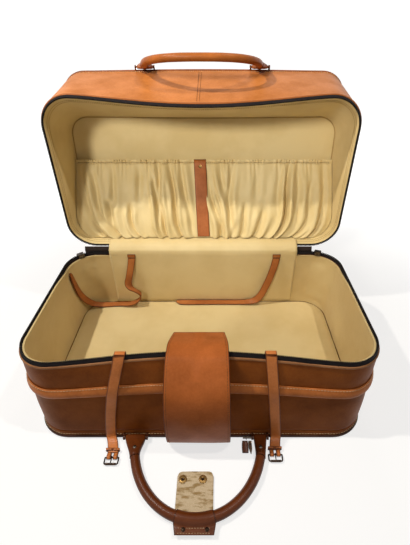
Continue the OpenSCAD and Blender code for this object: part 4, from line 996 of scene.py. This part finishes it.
for k, side in enumerate(("left", "right")):
    body = "front_strap_" + side
    stops = front_stops(k)
    strip("front_leather_" + side, stops, STRAP_T, strap_hide, body, ["front_strap_" + side],
          face=-1)
    stitches("front_stitches_" + side, strip_line(stops, STRAP_T, 2.3, -1, face=-1, trim=(2, 3)), thread,
             body, pitch=4.2, radius=0.3)
    stitches("front_stitches2_" + side, strip_line(stops, STRAP_T, 2.3, 1, face=-1, trim=(2, 3)), thread,
             body, pitch=4.2, radius=0.3)
    bx, by, bz = bar_at[k]
    for half in (-1, 1):
        cx = bx + half * (FRONT_W + 3.6) / 4
        loop = [(cx, by + 8, 4.9, 1, 0, 0, 7.2), (cx, by + 3, bz + 2.1, 1, 0, 0, 7.2),
                (cx, by, bz + 2.3, 1, 0, 0, 7.2),
                (cx, by - 2.3, bz, 1, 0, 0, 7.2), (cx, by, bz - 2.3, 1, 0, 0, 7.2),
                (cx, by + 4, bz - 1.6, 1, 0, 0, 7.2),
                (cx, by + 12, bz - 1.1, 1, 0, 0, 7.2)]
        strip(f"buckle_loop_{side}_{'a' if half < 0 else 'b'}", loop, 1.7, strap_hide, body, steps=4, face=-1,
              crease=False)
    w, far = BUCKLE_W / 2 - 1.2, by - BUCKLE_L + 3.4
    ring = [(bx - w, by - 1, bz), (bx - w, far + 2.5, bz), (bx - w + 0.8, far + 0.7, bz),
            (bx - w + 2.6, far, bz), (bx + w - 2.6, far, bz),
            (bx + w - 0.8, far + 0.7, bz), (bx + w, far + 2.5, bz), (bx + w, by - 1, bz),
            (bx + w - 1.4, by, bz), (bx - w + 1.4, by, bz)]
    tube("buckle_frame_" + side, [p[:3] for p in smooth_path(ring + [ring[0]], 3)][:-1], 1.25, 10, dark_steel,
         body,
         ["front_buckle_" + side], closed=True)
    tube("buckle_bar_" + side, [(bx - w, by, bz), (bx, by, bz), (bx + w, by, bz)], 1.1, 12, dark_steel, body)
    tube("buckle_roller_" + side, [(bx - w + 2.8, far, bz), (bx, far, bz), (bx + w - 2.8, far, bz)], 1.9, 14,
         dark_steel, body)
    prong = [(bx, by + 1.4, bz + 1.9), (bx, by - 1, bz + 2.6), (bx, by - 5, bz + 2.5),
             (bx, far + 1, bz + 2.5), (bx, far - 1.2, bz + 2.0)]
    tube("buckle_prong_" + side, [p[:3] for p in smooth_path(prong, 4)], lambda v: lerp(1.1, 0.75, v), 10,
         dark_steel,
         "front_prong_" + side, ["front_prong_" + side], up=(1, 0, 0))
    a, b = Vector(stops[-2][:3]), Vector(stops[-1][:3])
    mid, ahead = a.lerp(b, 0.55), (b - a).normalized()
    across = Vector((1, 0, 0))
    lift = across.cross(ahead).normalized()
    kw, kh = FRONT_W / 2 + 1.9, STRAP_T / 2 + 1.2
    rim = [mid + across * x + lift * z for x, z in ((0, -kh), (kw - 1, -kh), (kw, -kh + 1), (kw, kh - 1),
                                                    (kw - 1, kh), (0, kh), (1 - kw, kh),
                                                    (-kw, kh - 1), (-kw, 1 - kh), (1 - kw, -kh), (-0.4, -kh))]
    strip("keeper_loop_" + side, [(*p, *ahead, 4.4) for p in rim], 1.3, strap_hide, body,
          ["front_keeper_" + side],
          steps=3, crease=False)
    top, in_y = stops[0], stops[0][1] + STRAP_T + 0.2 + LINING_IN + 0.6
    anchor = [(top[0], y, z, 1, 0, 0, FRONT_W) for y, z in ((in_y + 1.4, BASE_H - 40),
            (in_y + 0.7, BASE_H - 20), (in_y, BASE_H - 5),
              (in_y - 0.6, BASE_H + 1.5), (in_y - 3, top_z), (top[1] + 1.7, top_z))]
    strip("strap_anchor_" + side, anchor, STRAP_T, strap_hide, "base", ["front_strap_anchors"],
          face=-1)
print("front straps done")

# %% [markdown]
# ## Handles
# A grip is rope wrapped in leather: an even round bow, pulled together along a seam on its inner
# side. Its two ends are leather pads, riveted, that flatten out to an eye round a steel bar. The
# grip is a tube along the bow; each end is a grid whose section changes from round to flat.

# %% Grips and their ends
GRIP_D, BAR_D, END_REACH = 16, 4, 34
BASE_BAR = Vector((0, -base_hd(0) - 7, 9.6))
LID_EDGE = LID_FRONT + 12 + 3 * (1 - (RIM_W / 6 / (RIM_W / 2 - 45)) ** 2) ** 1.5
BASE_PLACE = Matrix.Translation(BASE_BAR)
LID_BAR_PLACE = LID_PLACE @ Matrix.Translation((0, -LID_EDGE - 4.9, LID_H - 5))
LID_HANDLE_PLACE = LID_BAR_PLACE @ Matrix.Rotation(math.radians(90 - 17), 4, "X")


def bow(half, reach, n, a):
    s, c = math.sin(math.radians(a)), math.cos(math.radians(a))
    return (half * math.copysign(abs(s) ** (2 / n), s), -reach * abs(c) ** (2 / n))


def bow_angle(reach, n, r):
    return math.degrees(math.acos((r / reach) ** (n / 2)))


def grip(name, place, cx, half, reach, n, material, body, node):
    top = bow_angle(reach, n, END_REACH + 0.3)
    line = [bow(half, reach, n, lerp(-top, top, i / 64)) for i in range(65)]
    path = [Vector((cx + x, y, 0)) for x, y in line]

    def shape(u, v):
        i = round(v * 64)
        ahead = (path[min(i + 1, 64)] - path[max(i - 1, 0)]).normalized()
        side = ahead.cross(Vector((0, 0, 1)))
        turn = 2 * math.pi * u
        seam = max(0, math.cos(turn - math.pi)) ** 24
        r = GRIP_D / 2 - 0.35 + 0.15 * rough(path[i].x, path[i].y, 0, 25, 4) + 0.9 * seam
        return place @ (path[i] + side * r * math.cos(turn) + Vector((0, 0, r * math.sin(turn))))
    bm = bent_grid(shape, 28, 64, round_across=True, fill=True,
                   edge=lambda u, v: 0.8 if abs(u - 0.5) < 0.02 else 50)
    put_in_scene(finished(bm, name), name, material, body, [node])
    row = []
    for i in range(2, 63):
        ahead = (path[i + 1] - path[i - 1]).normalized()
        side = ahead.cross(Vector((0, 0, 1)))
        row.append(place @ (path[i] - side * (GRIP_D / 2 - 0.1) * math.cos(0.3) + Vector((0, 0,
                (GRIP_D / 2 - 0.1) * math.sin(0.3)))))
    stitches(name + "_stitches", row, dark_thread, body, pitch=4, radius=0.28)


def grip_end(name, place, cx, half, reach, n, x0, x1, side, material, body, node, slot):
    a = side * bow_angle(reach, n, END_REACH)
    px, py = bow(half, reach, n, a)
    qx, qy = bow(half, reach, n, side * bow_angle(reach, n, END_REACH + 1))
    start, ahead = Vector((cx + px, py, 0)), Vector((px - qx, py - qy, 0)).normalized()
    mid, wide = (x0 + x1) / 2, (x1 - x0) / 2

    def shape(u, v):
        turn = 2 * math.pi * u
        c, s = math.cos(turn), math.sin(turn)
        k = min(v / 0.82, 1)
        ease = k * k * (3 - 2 * k)
        centre = start.lerp(Vector((mid, 0, 0)), k) + ahead * 5 * k * (1 - k)
        rx, rz = lerp(GRIP_D / 2 + 0.45, wide, ease), lerp(GRIP_D / 2 + 0.45, BAR_D / 2 + 2.2, ease)
        if v > 0.82:
            t = (v - 0.82) / 0.18
            centre = centre + Vector((0, 4.4 * math.sin(t * math.pi / 2), 0))
            rz *= math.sqrt(max(1 - t * t, 0.02))
            rx *= 1 - 0.03 * t
        across = ahead.cross(Vector((0, 0, 1))).lerp(Vector((1, 0,
                0)) * (1 if ahead.cross(Vector((0, 0, 1))).x > 0 else -1), ease).normalized()
        p = 2 + 2.4 * ease
        return place @ (centre + across * rx * math.copysign(abs(c) ** (2 / p), c)
                        + Vector((0, 0, rz * math.copysign(abs(s) ** (2 / p), s))))
    bm = bent_grid(shape, 28, 26, round_across=True, fill=True, edge=lambda u, v: 0.6 + v * 30)
    put_in_scene(finished(bm, name), name, material, body, [node])
    spot = lerp(Vector((mid, 0, 0)), Vector((cx + px, 0, 0)), 21 / END_REACH)
    for face in (-1, 1):
        head = place @ Matrix.Translation((spot.x, -21,
                                           face * 6.9)) @ Matrix.Rotation(0 if face > 0 else math.pi, 4, "X")
        turned(name + ("_rivet_a" if face < 0 else "_rivet_b"),
               [(0, 1.5), (1.4, 1.35), (2.6, 0.9), (3.3, 0.2), (3.3, -0.5), (2.0, -0.9), (2.0, -3), (0, -3)],
               head, gunmetal, body, [node.replace("_ends", "_rivets")])


def turned(name, profile, place, material, body, stands_for=(), sides=20):
    """A lathed piece: profile is (radius, height) from one pole to the other."""
    last = len(profile) - 1

    def shape(u, v):
        r, h = profile[round(v * last)]
        return place @ Vector((r * math.cos(2 * math.pi * u), r * math.sin(2 * math.pi * u), h))
    bm = bent_grid(shape, sides, last, round_across=True)
    bmesh.ops.remove_doubles(bm, verts=bm.verts, dist=1e-6)
    return put_in_scene(finished(bm, name), name, material, body, stands_for)


base_ends, lid_ends = ((-130, -95), (93, 115)), ((-141, -106), (103, 138))
grip("base_rope_grip", BASE_PLACE, -3, 109, 126, 2, handle_hide, "base_handle", "base_handle_grip")
grip("lid_rope_grip", LID_HANDLE_PLACE, -1.5, 119, 128, 2.6, lid_grip_hide, "lid_handle", "lid_handle_grip")
for k in (0, 1):
    grip_end(f"base_grip_end_{'lr'[k]}", BASE_PLACE, -3, 109, 126, 2, *base_ends[k], 2 * k - 1, handle_hide,
             "base_handle",
             "base_handle_ends", "dark_leather")
    grip_end(f"lid_grip_end_{'lr'[k]}", LID_HANDLE_PLACE, -1.5, 119, 128, 2.6, *lid_ends[k], 2 * k - 1,
             lid_grip_hide,
             "lid_handle", "lid_handle_ends", "tan_leather")
print("handles done")

# %% [markdown]
# ## Sleeve, tongue and press studs
# A leather sleeve is wrapped round the crown of the base handle, with a stiff hem in front that
# carries two studs. Its tongue lies open on the ground and shows its worn suede side and the two
# brass sockets, which are lathed rings.

# %% Sleeve and tongue
CROWN = BASE_BAR + Vector((0, -126, 0))
SLEEVE_X, SLEEVE_W, TONGUE_X = -3.5, 57, -5.5
sleeve_out = GRIP_D / 2 + 0.35 + 1.3
sleeve_angles = [math.degrees(math.asin((SLEEVE_X + s * SLEEVE_W / 2 + 3) / 109)) for s in (-1, 1)]
sleeve_line = [bow(109, 126, 2, lerp(*sleeve_angles, i / 16)) for i in range(17)]


def sleeve_section():
    outer = [(sleeve_out * math.cos(math.radians(a)),
              sleeve_out * math.sin(math.radians(a))) for a in range(155, -41, -13)]
    inner = [(x * 0.87, y * 0.87) for x, y in reversed(outer)]
    hem = [(-sleeve_out + 0.6, -0.7), (-13, -0.8), (-18.2, -0.8), (-18.9, -0.3), (-19, 0.5), (-18.7, 1.3),
           (-18, 1.6), (-13, 1.6),
           (-10.6, 1.8), (-sleeve_out + 0.1, 2.9)]
    return outer + inner + hem


section = sleeve_section()


def sleeve_shape(u, v):
    i = round(v * 16)
    a, b = sleeve_line[max(i - 1, 0)], sleeve_line[min(i + 1, 16)]
    run = Vector((b[0] - a[0], b[1] - a[1], 0)).normalized()
    s, z = section[round(u * len(section)) % len(section)]
    x, y = sleeve_line[i]
    there = Vector((-3 + x - run.y * s, y + run.x * s, z))
    straight = min(max((-s - sleeve_out) / 6, 0), 1)
    return BASE_BAR + there.lerp(Vector((SLEEVE_X + (v - 0.5) * SLEEVE_W, -126 + s, z)), straight)


bm = bent_grid(sleeve_shape, len(section), 16, round_across=True, fill=True,
               edge=lambda u, v: min(v, 1 - v) * SLEEVE_W + 0.2)
put_in_scene(finished(bm, "crown_sleeve"), "crown_sleeve", handle_hide, "base_handle", ["handle_sleeve"])
for inset, row in ((11.0, "back"), (17.2, "front")):
    line = [BASE_BAR + Vector((SLEEVE_X + (i / 16 - 0.5) * SLEEVE_W, -126 - inset,
                               1.95 if row == "back" else 1.75))
            for i in range(1, 16)]
    stitches("sleeve_stitches_" + row, line, thread, "base_handle", pitch=4, radius=0.3)
stud_profile = [(0, 1.9), (1.3, 1.8), (2.3, 1.3), (2.6, 0.8), (3.0, 0.7), (3.0, 0.1), (2.2, -0.3), (0, -0.3)]
for i, x in enumerate((-19.5, 14.7)):
    turned(f"hem_stud_{i}", stud_profile, Matrix.Translation(CROWN + Vector((x, -12.6, 1.65))), dark_steel,
           "base_handle",
           ["sleeve_studs"])
TONGUE_T, TONGUE_W, TONGUE_L, TONGUE_Z = 2.2, 58, 64, 1.0
drop = CROWN.z - TONGUE_Z - TONGUE_T


def tongue_root(x):
    back = 126 * (1 - math.sqrt(1 - ((TONGUE_X + x + 3) / 109) ** 2))
    return math.sqrt((sleeve_out + 0.3 + back) ** 2 - drop * drop)


tongue_end = tongue_root(0) + TONGUE_L


def tongue_shape(u, v):
    x = (u - 0.5) * TONGUE_W
    far = tongue_end - (8 - math.sqrt(max(64 - max(abs(x) - TONGUE_W / 2 + 8, 0) ** 2, 0)))
    y = lerp(tongue_root(x), far, v)
    curl = 1.3 * max(0, v - 0.55) ** 2 * 4 * (0.4 + u * 0.6)
    return (TONGUE_X + x + 0.35 * rough(0, y, 0, 12, 2), CROWN.y + y,
            TONGUE_Z + TONGUE_T + curl + 0.35 * rough(x, y, 0, 14, 6))


bm = bent_grid(tongue_shape, 30, 30, edge=lambda u, v: min(u, 1 - u) * TONGUE_W)
put_in_scene(finished(bm, "suede_tongue"), "suede_tongue", suede, "sleeve_tongue", ["sleeve_tongue"],
             thick=2.0)
socket_profile = [(2.0, 0.2), (2.4, 1.3), (3.2, 1.7), (3.9, 1.2), (4.6, 0.9), (5.6, 1.25), (6.3, 1.0),
                  (6.6, 0.3), (6.3, -0.2), (2.0, -0.2), (2.0, 0.2)]
cup_profile = [(0, -0.1), (1.9, -0.05), (1.95, 0.5), (1.5, 0.9), (0.9, 0.7), (0, 0.65)]
for i, x in enumerate((-20, 12)):
    curl = 1.3 * (1 - 12 / TONGUE_L - 0.55) ** 2 * 4 * (0.4 + (x / TONGUE_W + 0.5) * 0.6)
    at = Matrix.Translation(CROWN + Vector((TONGUE_X + x, tongue_end - 12,
                                            TONGUE_Z + TONGUE_T + curl - CROWN.z + 0.15)))
    turned(f"press_socket_{i}", socket_profile, at, brass, "sleeve_tongue", ["tongue_sockets"],
           sides=28)
    turned(f"socket_cup_{i}", cup_profile, at, dark_steel, "sleeve_tongue")
print("sleeve and tongue done")

# %% [markdown]
# ## Key tab
# A short leather tab with a pointed metal tip hangs on a wire ring round the right bar.

# %% Key tab
KEY_PLACE = Matrix.Translation((80, BASE_BAR.y, BASE_BAR.z)) @ Matrix.Rotation(math.radians(16), 4, "X")


def key_stops(points, width):
    return [(*(KEY_PLACE @ Vector(p)), *(KEY_PLACE.to_3x3() @ Vector((1, 0, 0))), w) for p,
            w in zip(points, width)]


strip("key_leather", key_stops([(-2.2, -4.6, -3.2), (-2.2, -10, -3.3), (-2.2, -18, -3.2), (-2.2, -23.8, -3)],
                               (9.5, 11, 11.4, 10.5)), 2.3,
      handle_hide, "key", ["key_tab"], face=-1)
strip("key_tip", key_stops([(6.5, -4.6, -3.3), (6.5, -10, -3.3), (6.8, -16, -3.3), (7.2, -21, -3.3),
                            (7.4, -25.6, -3.3)], (5.8, 6, 6, 3.6, 0.8)), 1.3,
      dark_steel, "key", face=-1, crease=False)
strip("key_link", key_stops([(2.5, -7.6, -3.3), (2.5, -9, -3.3), (2.5, -10.4, -3.3)], (8.5, 8.5, 8.5)), 1.2,
      gunmetal, "key", face=-1, crease=False)
ring = [(80, BASE_BAR.y + 3.4 * math.cos(a),
         BASE_BAR.z + 3.4 * math.sin(a)) for a in (2 * math.pi * i / 28 for i in range(28))]
tube("key_ring", ring, 0.6, 10, gunmetal, "base", ["key_tab_ring"], up=(1, 0, 0), closed=True)
print("key tab done")

# %% [markdown]
# ## Lid walls
# The lid repeats the base: a closed leather profile round the ring, a padded outer panel, a dark
# piped edge with a light stitch line, and half of the zip. The two ends of the leather meet in the
# middle of the front wall, in an overlapped seam with two rows of stitches.

# %% Lid shell, panel, welt and zip
def lid_soft(u, inset, h):
    if inset > 2:
        return 0
    x, y, z = lid_point(u, 0, h)
    seam = max(0, 1 - abs(x + 3) / 4) if z > 300 else 0
    calm = min(1, max(0, (h - 12) / 20), max(0, (158 - h) / 14))
    return calm * (0.4 + 0.9 * rough(x, y, z, 70, 13) + 0.3 * rough(x, y, z, 22,
            18)) + 0.5 * seam * min(calm * 4, 1)


lid_up = [6, 9, 13, 18, 24, 32, 40, 50, 60, 70, 80, 90, 100, 110, 120, 130, 138, 145, 151, 156, 160, 162.8]
lid_profile = [(0, h) for h in lid_up] + [(1.5, 163), (LID_WALL_T, 162.6), (LID_WALL_T, 110),
                                          (LID_WALL_T, 60), (LID_WALL_T, 8), (1.8, 5.9)]
ring_piece("lid_leather", lid_profile, lid_point, tan_hide, "lid", ["lid_shell"], lid_soft)


def panel_shape(u, v):
    """v: across the outside from the middle to the edge, then back inside."""
    x, y, _ = LID_PLACE.inverted() @ lid_point(u, 0.6, LID_H - 1)
    cy = -LID_FRONT / 2 - 2
    if v < 0.7:
        reach = math.sin(v / 0.7 * math.pi / 2)
        crown = -2.2 * max(0, (reach - 0.94) / 0.06) ** 2
        groove = -0.9 * math.exp(-((reach - 0.9) / 0.008) ** 2)
        h = LID_H + crown + groove + 0.5 * rough(x * reach, y * reach, 0, 80, 3) - 0.6
    else:
        reach = 1 - (v - 0.7) / 0.3
        h = LID_H - PANEL_T + 0.2
    return on_lid(x * reach, cy + (y - cy) * reach, h)


bm = bent_grid(panel_shape, RING_N, 60, round_across=True)
bmesh.ops.remove_doubles(bm, verts=bm.verts, dist=1e-5)
put_in_scene(finished(bm, "lid_panel"), "lid_panel", tan_hide, "lid", ["lid_top_panel"])
edge_hide = leather("piped_edge_hide", "#8f4f26", "#6f3a1a", grain_mm=0.9, shine=0.38)
ring_piece("lid_piping", [(0.2, LID_H - 5), (0.2, LID_H - 0.2), (-0.6, LID_H), (-1.5, LID_H - 0.4),
                          (-2.2, LID_H - 1.4), (-2.4, LID_H - 2.6),
                          (-2.1, LID_H - 3.8), (-1.3, LID_H - 4.7), (-0.5, LID_H - 5.1)], lid_point,
                          edge_hide, "lid", ["lid_welt"])
stitches("lid_edge_stitches", [pushed(lid_point, i / RING_N, 0, LID_H - 8.2, 0.5) for i in range(RING_N)],
         thread, "lid", pitch=4.4, closed=True)
lid_edge_hide = leather("lid_binding_hide", "#a2602e", "#8a4e22", grain_mm=0.9)
ring_piece("lid_binding_strip", [(0.4, 4.8), (0.4, 8.6), (-0.6, 8.7), (-1.2, 8.2), (-1.5, 6.8), (-1.2, 5.4),
                                 (-0.5, 4.7)], lid_point, lid_edge_hide, "lid",
           ["lid_binding"])
ring_piece("lid_zip_tape", [(4.9, -1.0), (5.0, 2.6), (LID_WALL_T, 2.7), (LID_WALL_T, 5.6), (0.6, 5.6),
                            (0.5, 3), (0.6, 0.8), (1.4, -0.6), (2.4, -1.3), (4.0, -1.4)],
           lid_point, zip_tape, "lid", ["lid_tape"])
tooth_row("lid_zip_coil", lid_point, 2.8, -1.7 - TEETH_H / 2 + 0.1, 2.2, "lid", ["lid_teeth"])
for x in (-8.5, -3.5):
    rows = [on_lid(x, -LID_FRONT - 9.5 * h / LID_H + lerp(17, -3,
            h / LID_H) * (1 - (x / 250) ** 2) ** 1.5 - 1.3, h) for h in range(12, 160, 4)]
    stitches(f"seam_stitches_{'a' if x < -5 else 'b'}", rows, dark_thread, "lid", pitch=4.2, radius=0.36)
print("lid walls done")

# %% [markdown]
# ## Lid lining
# The lining leans inwards from the zip to a rounded inner panel, and a corded seam runs where the
# two meet. Cloth that is pulled round a corner puckers; here the wall cloth is made a little uneven all
# round, most of all halfway between the zip and the panel.

# %% Lid lining
LINING_OUT = LID_WALL_T + SEAT
LINING_W, LINING_S = 588, 258


def panel_h(s):
    return lerp(96, 126, s / LINING_S)


def lining_side(k):
    return lerp(RIM_W / 2 + 1 - LINING_OUT, LINING_W / 2, k)


def lining_back(k):
    return lerp(1 + LINING_OUT, 10, k)


def lining_corner(k):
    return lerp(CORNER_R - 4, CORNER_R - 15, k)


def lining_xy(u, inset, k):
    r = outline(lining_side(k) - inset, inset - lerp(LID_FRONT - LINING_OUT, LINING_S, k),
                -lining_back(k) - inset,
                lerp(CORNER_R - 4, 40, k) - inset, lining_corner(k) - inset, lerp(17, 2, k))
    return r[round(u * RING_N) % RING_N]


def lid_lining_shape(u, v):
    steps = 30
    i = round(v * (steps + 4)) % (steps + 4)
    k, inset = (i / steps, 1.4) if i <= steps else ((1, 0.66, 0.33)[i - steps - 1], 0.1)
    x, y = lining_xy(u, inset, k)
    qx, qy = lining_xy(u, inset + 1, k)
    soft = math.sin(math.pi * min(k, 1)) ** 0.5 if inset > 1 else 0
    push = soft * (0.9 * rough(x, y, k * 100, 65, 14) + 0.35 * rough(x, y, k * 100, 20, 15)) - 0.2 * soft
    return on_lid(x + (x - qx) * push, y + (y - qy) * push, lerp(0.2, panel_h(-y), k))


bm = bent_grid(lid_lining_shape, RING_N, 34, round_across=True, round_along=True)
put_in_scene(finished(bm, "lid_lining"), "lid_lining", cream_lid, "lid", ["lid_wall_lining"])


def lid_panel_shape(u, v):
    x, y = lining_xy(u, 0.8, 1)
    cy = -LINING_S / 2 - 5
    reach = math.sin(min(v / 0.8, 1) * math.pi / 2) if v <= 0.8 else 1 - (v - 0.8) / 0.2
    px, py = x * reach, cy + (y - cy) * reach
    h = panel_h(-py) + (0.5 + 0.5 * rough(px, py, 0, 90, 16) if v <= 0.8 else 2.8)
    return on_lid(px, py, h + 0.2)


bm = bent_grid(lid_panel_shape, RING_N, 44, round_across=True)
bmesh.ops.remove_doubles(bm, verts=bm.verts, dist=1e-5)
put_in_scene(finished(bm, "lid_inner_panel"), "lid_inner_panel", cream_lid, "lid", ["lid_panel_lining"])
cord_path = []
for i in range(RING_N):
    x, y = lining_xy(i / RING_N, 2.2, 1)
    cord_path.append(on_lid(x, y, panel_h(-y) - 0.6))
tube("lid_piping_cord", cord_path, 1.1, 8, lining_cloth("brown_piping_cotton", "#b8965a", "#a07f46"), "lid",
     closed=True, up=tuple(LID_PLACE.to_3x3() @ Vector((0, 0, 1))))
for k, row in ((0.09, "outer"), (0.15, "inner")):
    line = []
    for i in range(RING_N):
        x, y = lining_xy(i / RING_N, 1.9, k)
        line.append(on_lid(x, y, lerp(0.2, panel_h(-y), k)))
    stitches("lining_seam_" + row, line, lining_thread, "lid", pitch=4, share=0.7, radius=0.32, closed=True)
print("lid lining done")

# %% [markdown]
# ## Pockets
# Each pocket is a wide piece of the lining cloth, gathered on elastic at its mouth and pleated into
# the seam at its foot, so it hangs in soft ridges with a few deep valleys. The valleys are placed
# one by one, about where the cloth of the real case shows them: where each starts at the
# hem, where it ends at the foot, how deep and how wide it is. Their depth is raised so that they
# show.

# %% Gathered pockets
SPLIT, HEM_S, HEM_W, MOUTH = -9, 161, 7, 10
HEM_H = panel_h(HEM_S) - MOUTH - 0.6
FOOT_S, FOOT_H = 1 + LINING_OUT + 4.4, 22
# hem place, foot place, depth in millimetres, width, first and last height
valleys = {-1: [(0.06, 0.02, 1.6, 0.020, 0, 1), (0.16, 0.05, 2.6, 0.016, 0, 1),
                (0.24, 0.17, 3.6, 0.014, 0, 1), (0.345, 0.30, 5.2, 0.016, 0, 1),
                (0.38, 0.33, 4.2, 0.012, 0.2, 1), (0.50, 0.47, 2.2, 0.02, 0, 0.45),
                (0.60, 0.55, 3.0, 0.014, 0.62, 1), (0.72, 0.66, 2.0, 0.016, 0, 0.5),
                (0.77, 0.71, 3.0, 0.02, 0.55, 1), (0.90, 0.74, 2.6, 0.018, 0, 1),
                (0.955, 0.86, 1.8, 0.02, 0, 1)],
           1: [(0.03, 0.17, 4.4, 0.016, 0, 1), (0.075, 0.20, 3.6, 0.014, 0, 1),
               (0.14, 0.24, 2.0, 0.02, 0, 0.8), (0.235, 0.22, 2.8, 0.016, 0, 0.75),
               (0.33, 0.34, 2.4, 0.014, 0.6, 1), (0.42, 0.44, 1.6, 0.02, 0, 0.4),
               (0.50, 0.46, 3.2, 0.02, 0.66, 1), (0.60, 0.58, 1.8, 0.02, 0, 0.5),
               (0.675, 0.625, 5.0, 0.013, 0, 1), (0.75, 0.72, 2.2, 0.018, 0, 0.8),
               (0.86, 0.80, 2.0, 0.016, 0.3, 1), (0.945, 0.92, 3.2, 0.016, 0, 1)]}


def side_at(s, h):
    k = (h - 3) / (panel_h(s) - 3)
    r, d = lining_corner(k) - 1.5, s - lining_back(k) - 1.5
    full = lining_side(k) - 1.5
    return full if d >= r else full - r + math.sqrt(max(r * r - (r - d) ** 2, 0))


def hang(side, u, v):
    """How far the cloth stands in front of its even surface, in millimetres."""
    ends = min(1, u * 9) * min(1, (1 - u) * 9)
    depth = 0.0
    for hem, foot, deep, wide, first, last in valleys[side]:
        middle = lerp(hem, foot, v) + 0.006 * math.sin(9 * v + 31 * hem)
        reach = min(1, max(0, (v - first + 0.12) / 0.16)) * min(1, max(0, (last + 0.12 - v) / 0.16))
        away = (u - middle) / (1.35 * wide)
        shoulder = math.exp(-((away - 1.7) / 1.2) ** 2) + math.exp(-((away + 1.7) / 1.2) ** 2)
        depth += deep * reach * (0.7 * shoulder - math.exp(-away * away))
    depth *= 2.9 * (0.25 + 0.75 * min(1, v * 4))
    gather = 1.2 * math.sin(u * 128 + 3 * math.sin(u * 31)) * max(0, 1 - v * 3.2) ** 1.5
    tuck = 1.1 * math.sin(u * 92 + 2 * math.sin(u * 23)) * max(0, (v - 0.75) / 0.25) ** 1.5
    soft = 3.4 * rough(u * 300, v * 55, 0, 36, 5 + side) + 1.3 * rough(u * 300, v * 90, 0, 15, 9 + side)
    return ends * (depth + gather + tuck + soft * min(1, v * 5) * min(1, (1 - v) * 6))


def pocket_spot(side, u, v, lift=0.0):
    s = lerp(HEM_S - HEM_W / 2 - 0.3, FOOT_S, v)
    h = lerp(HEM_H, FOOT_H, v) - 5 * math.sin(math.pi * v)
    x = lerp(SPLIT + side * 0.6, side * (side_at(s, h) - 1.4), u)
    return on_lid(x, -s, h - hang(side, u, v) - lift)


for side, label in ((-1, "left"), (1, "right")):
    bm = bent_grid(lambda u, v: pocket_spot(side, u, v), 190, 56, size=(0.29, 0.15))
    piece = put_in_scene(finished(bm, "gathered_pocket_" + label), "gathered_pocket_" + label, cream_lid,
                         "lid", ["pocket_" + label],
                         thick=0.8, offset=0)

    def ruffle(u):
        return (math.sin(u * 205 + 4 * math.sin(u * 29)) + 0.7 * math.sin(u * 118)) * min(1, u * 12) * min(1,
                (1 - u) * 12)

    def hem_shape(u, v):
        """A ruffled tube of cloth round the elastic, with a frill above it."""
        ring = ((-4.4, 0.2), (-3.9, 1.2), (-1.8, 1.3), (0.6, 0.9), (2.6, 1.6), (5.2, 0.7), (6.4, 0.0),
                (5.0, -0.8), (0.6, -0.9), (-3.6, -0.9))
        s, up = ring[round(v * 10) % 10]
        top = max(0, s - 1) / 5
        x = lerp(SPLIT + side * 0.6, side * (side_at(HEM_S, HEM_H) - 1.6), u)
        return on_lid(x, -(HEM_S + s + top * (1.3 * ruffle(u) - 1.0)),
                      HEM_H - up - ruffle(u) * (0.5 + 1.1 * top) - hang(side, u, 0.0) * 0.8)
    bm = bent_grid(hem_shape, 260, 10, round_along=True, fill=True)
    put_in_scene(finished(bm, "elastic_hem_" + label), "elastic_hem_" + label, cream_lid, "lid",
                 ["pocket_elastics"])
    seam = []
    for i in range(3, 238):
        u = i / 240
        x = lerp(SPLIT + side * 0.6, side * (side_at(HEM_S, HEM_H) - 1.6), u)
        seam.append(on_lid(x, -(HEM_S - 1.2 + 0.5 * ruffle(u)),
                           HEM_H - 1.6 - 0.5 * ruffle(u) - hang(side, u, 0.0) * 0.8))
    stitches("elastic_seam_" + label, seam, dark_thread, "lid", pitch=4.4, share=0.62, radius=0.55)

STRIP_GAP = 0.6 + 1.3
strip_stops = [(*on_lid(SPLIT, -HEM_S - HEM_W / 2 - 3, HEM_H - STRIP_GAP), 1, 0, 0, 28)]
for i in range(7):
    v = i / 6 * 0.985
    s, h = lerp(HEM_S - HEM_W / 2 - 0.3, FOOT_S, v), lerp(HEM_H, FOOT_H, v) - 5 * math.sin(math.pi * v)
    strip_stops.append((*on_lid(SPLIT + 8 * v, -s - 1, h - STRIP_GAP), 1, 0, 0, 28))
pocket_hide = leather("pocket_strip_hide", "#b46c3c", "#96552c", burnt="#6a3a1c", shine=0.46)
strip("pocket_strip", strip_stops, 1.8, pocket_hide, "lid", ["pocket_strap"], face=1)
stud_at = Vector(strip_stops[1][:3]).lerp(Vector(strip_stops[2][:3]), 0.25)
out = (Vector(strip_stops[2][:3]) - Vector(strip_stops[1][:3])).cross(Vector((1, 0, 0))).normalized()
out = out if out.y < 0 else -out
stud_place = Matrix.Translation(stud_at + out * 1.1) @ out.to_track_quat("Z", "Y").to_matrix().to_4x4()
turned("pocket_press_stud", [(0, 1.2), (1.2, 1.3), (2.0, 0.8), (2.6, 1.1), (3.6, 1.2), (4.1, 0.6),
                             (4.1, -0.1), (0, -0.1)], stud_place, brass, "lid",
       ["pocket_stud"], sides=24)
print("pockets done")

# %% [markdown]
# ## Pieces kept from the CAD part
# Plain rigid pieces whose solid is already right keep it and only get their finish.

# %% Finishes of the kept pieces
kept = {"base_bottom": welt_hide, "base_handle_loops": handle_hide, "base_handle_bars": gunmetal,
        "lid_handle_loops": lid_grip_hide,
        "lid_handle_bars": gunmetal, "zip_slider_left": gunmetal, "zip_slider_right": gunmetal,
        "zip_pull_left": gunmetal,
        "zip_pull_right": gunmetal}
for name, finish in kept.items():
    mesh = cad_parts[name].data
    mesh.materials.clear()
    mesh.materials.append(finish)
print("kept", len(kept), "CAD pieces; shown CAD:", [n for n,
                                                    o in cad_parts.items() if not o.hide_render
                                                    and n not in kept])
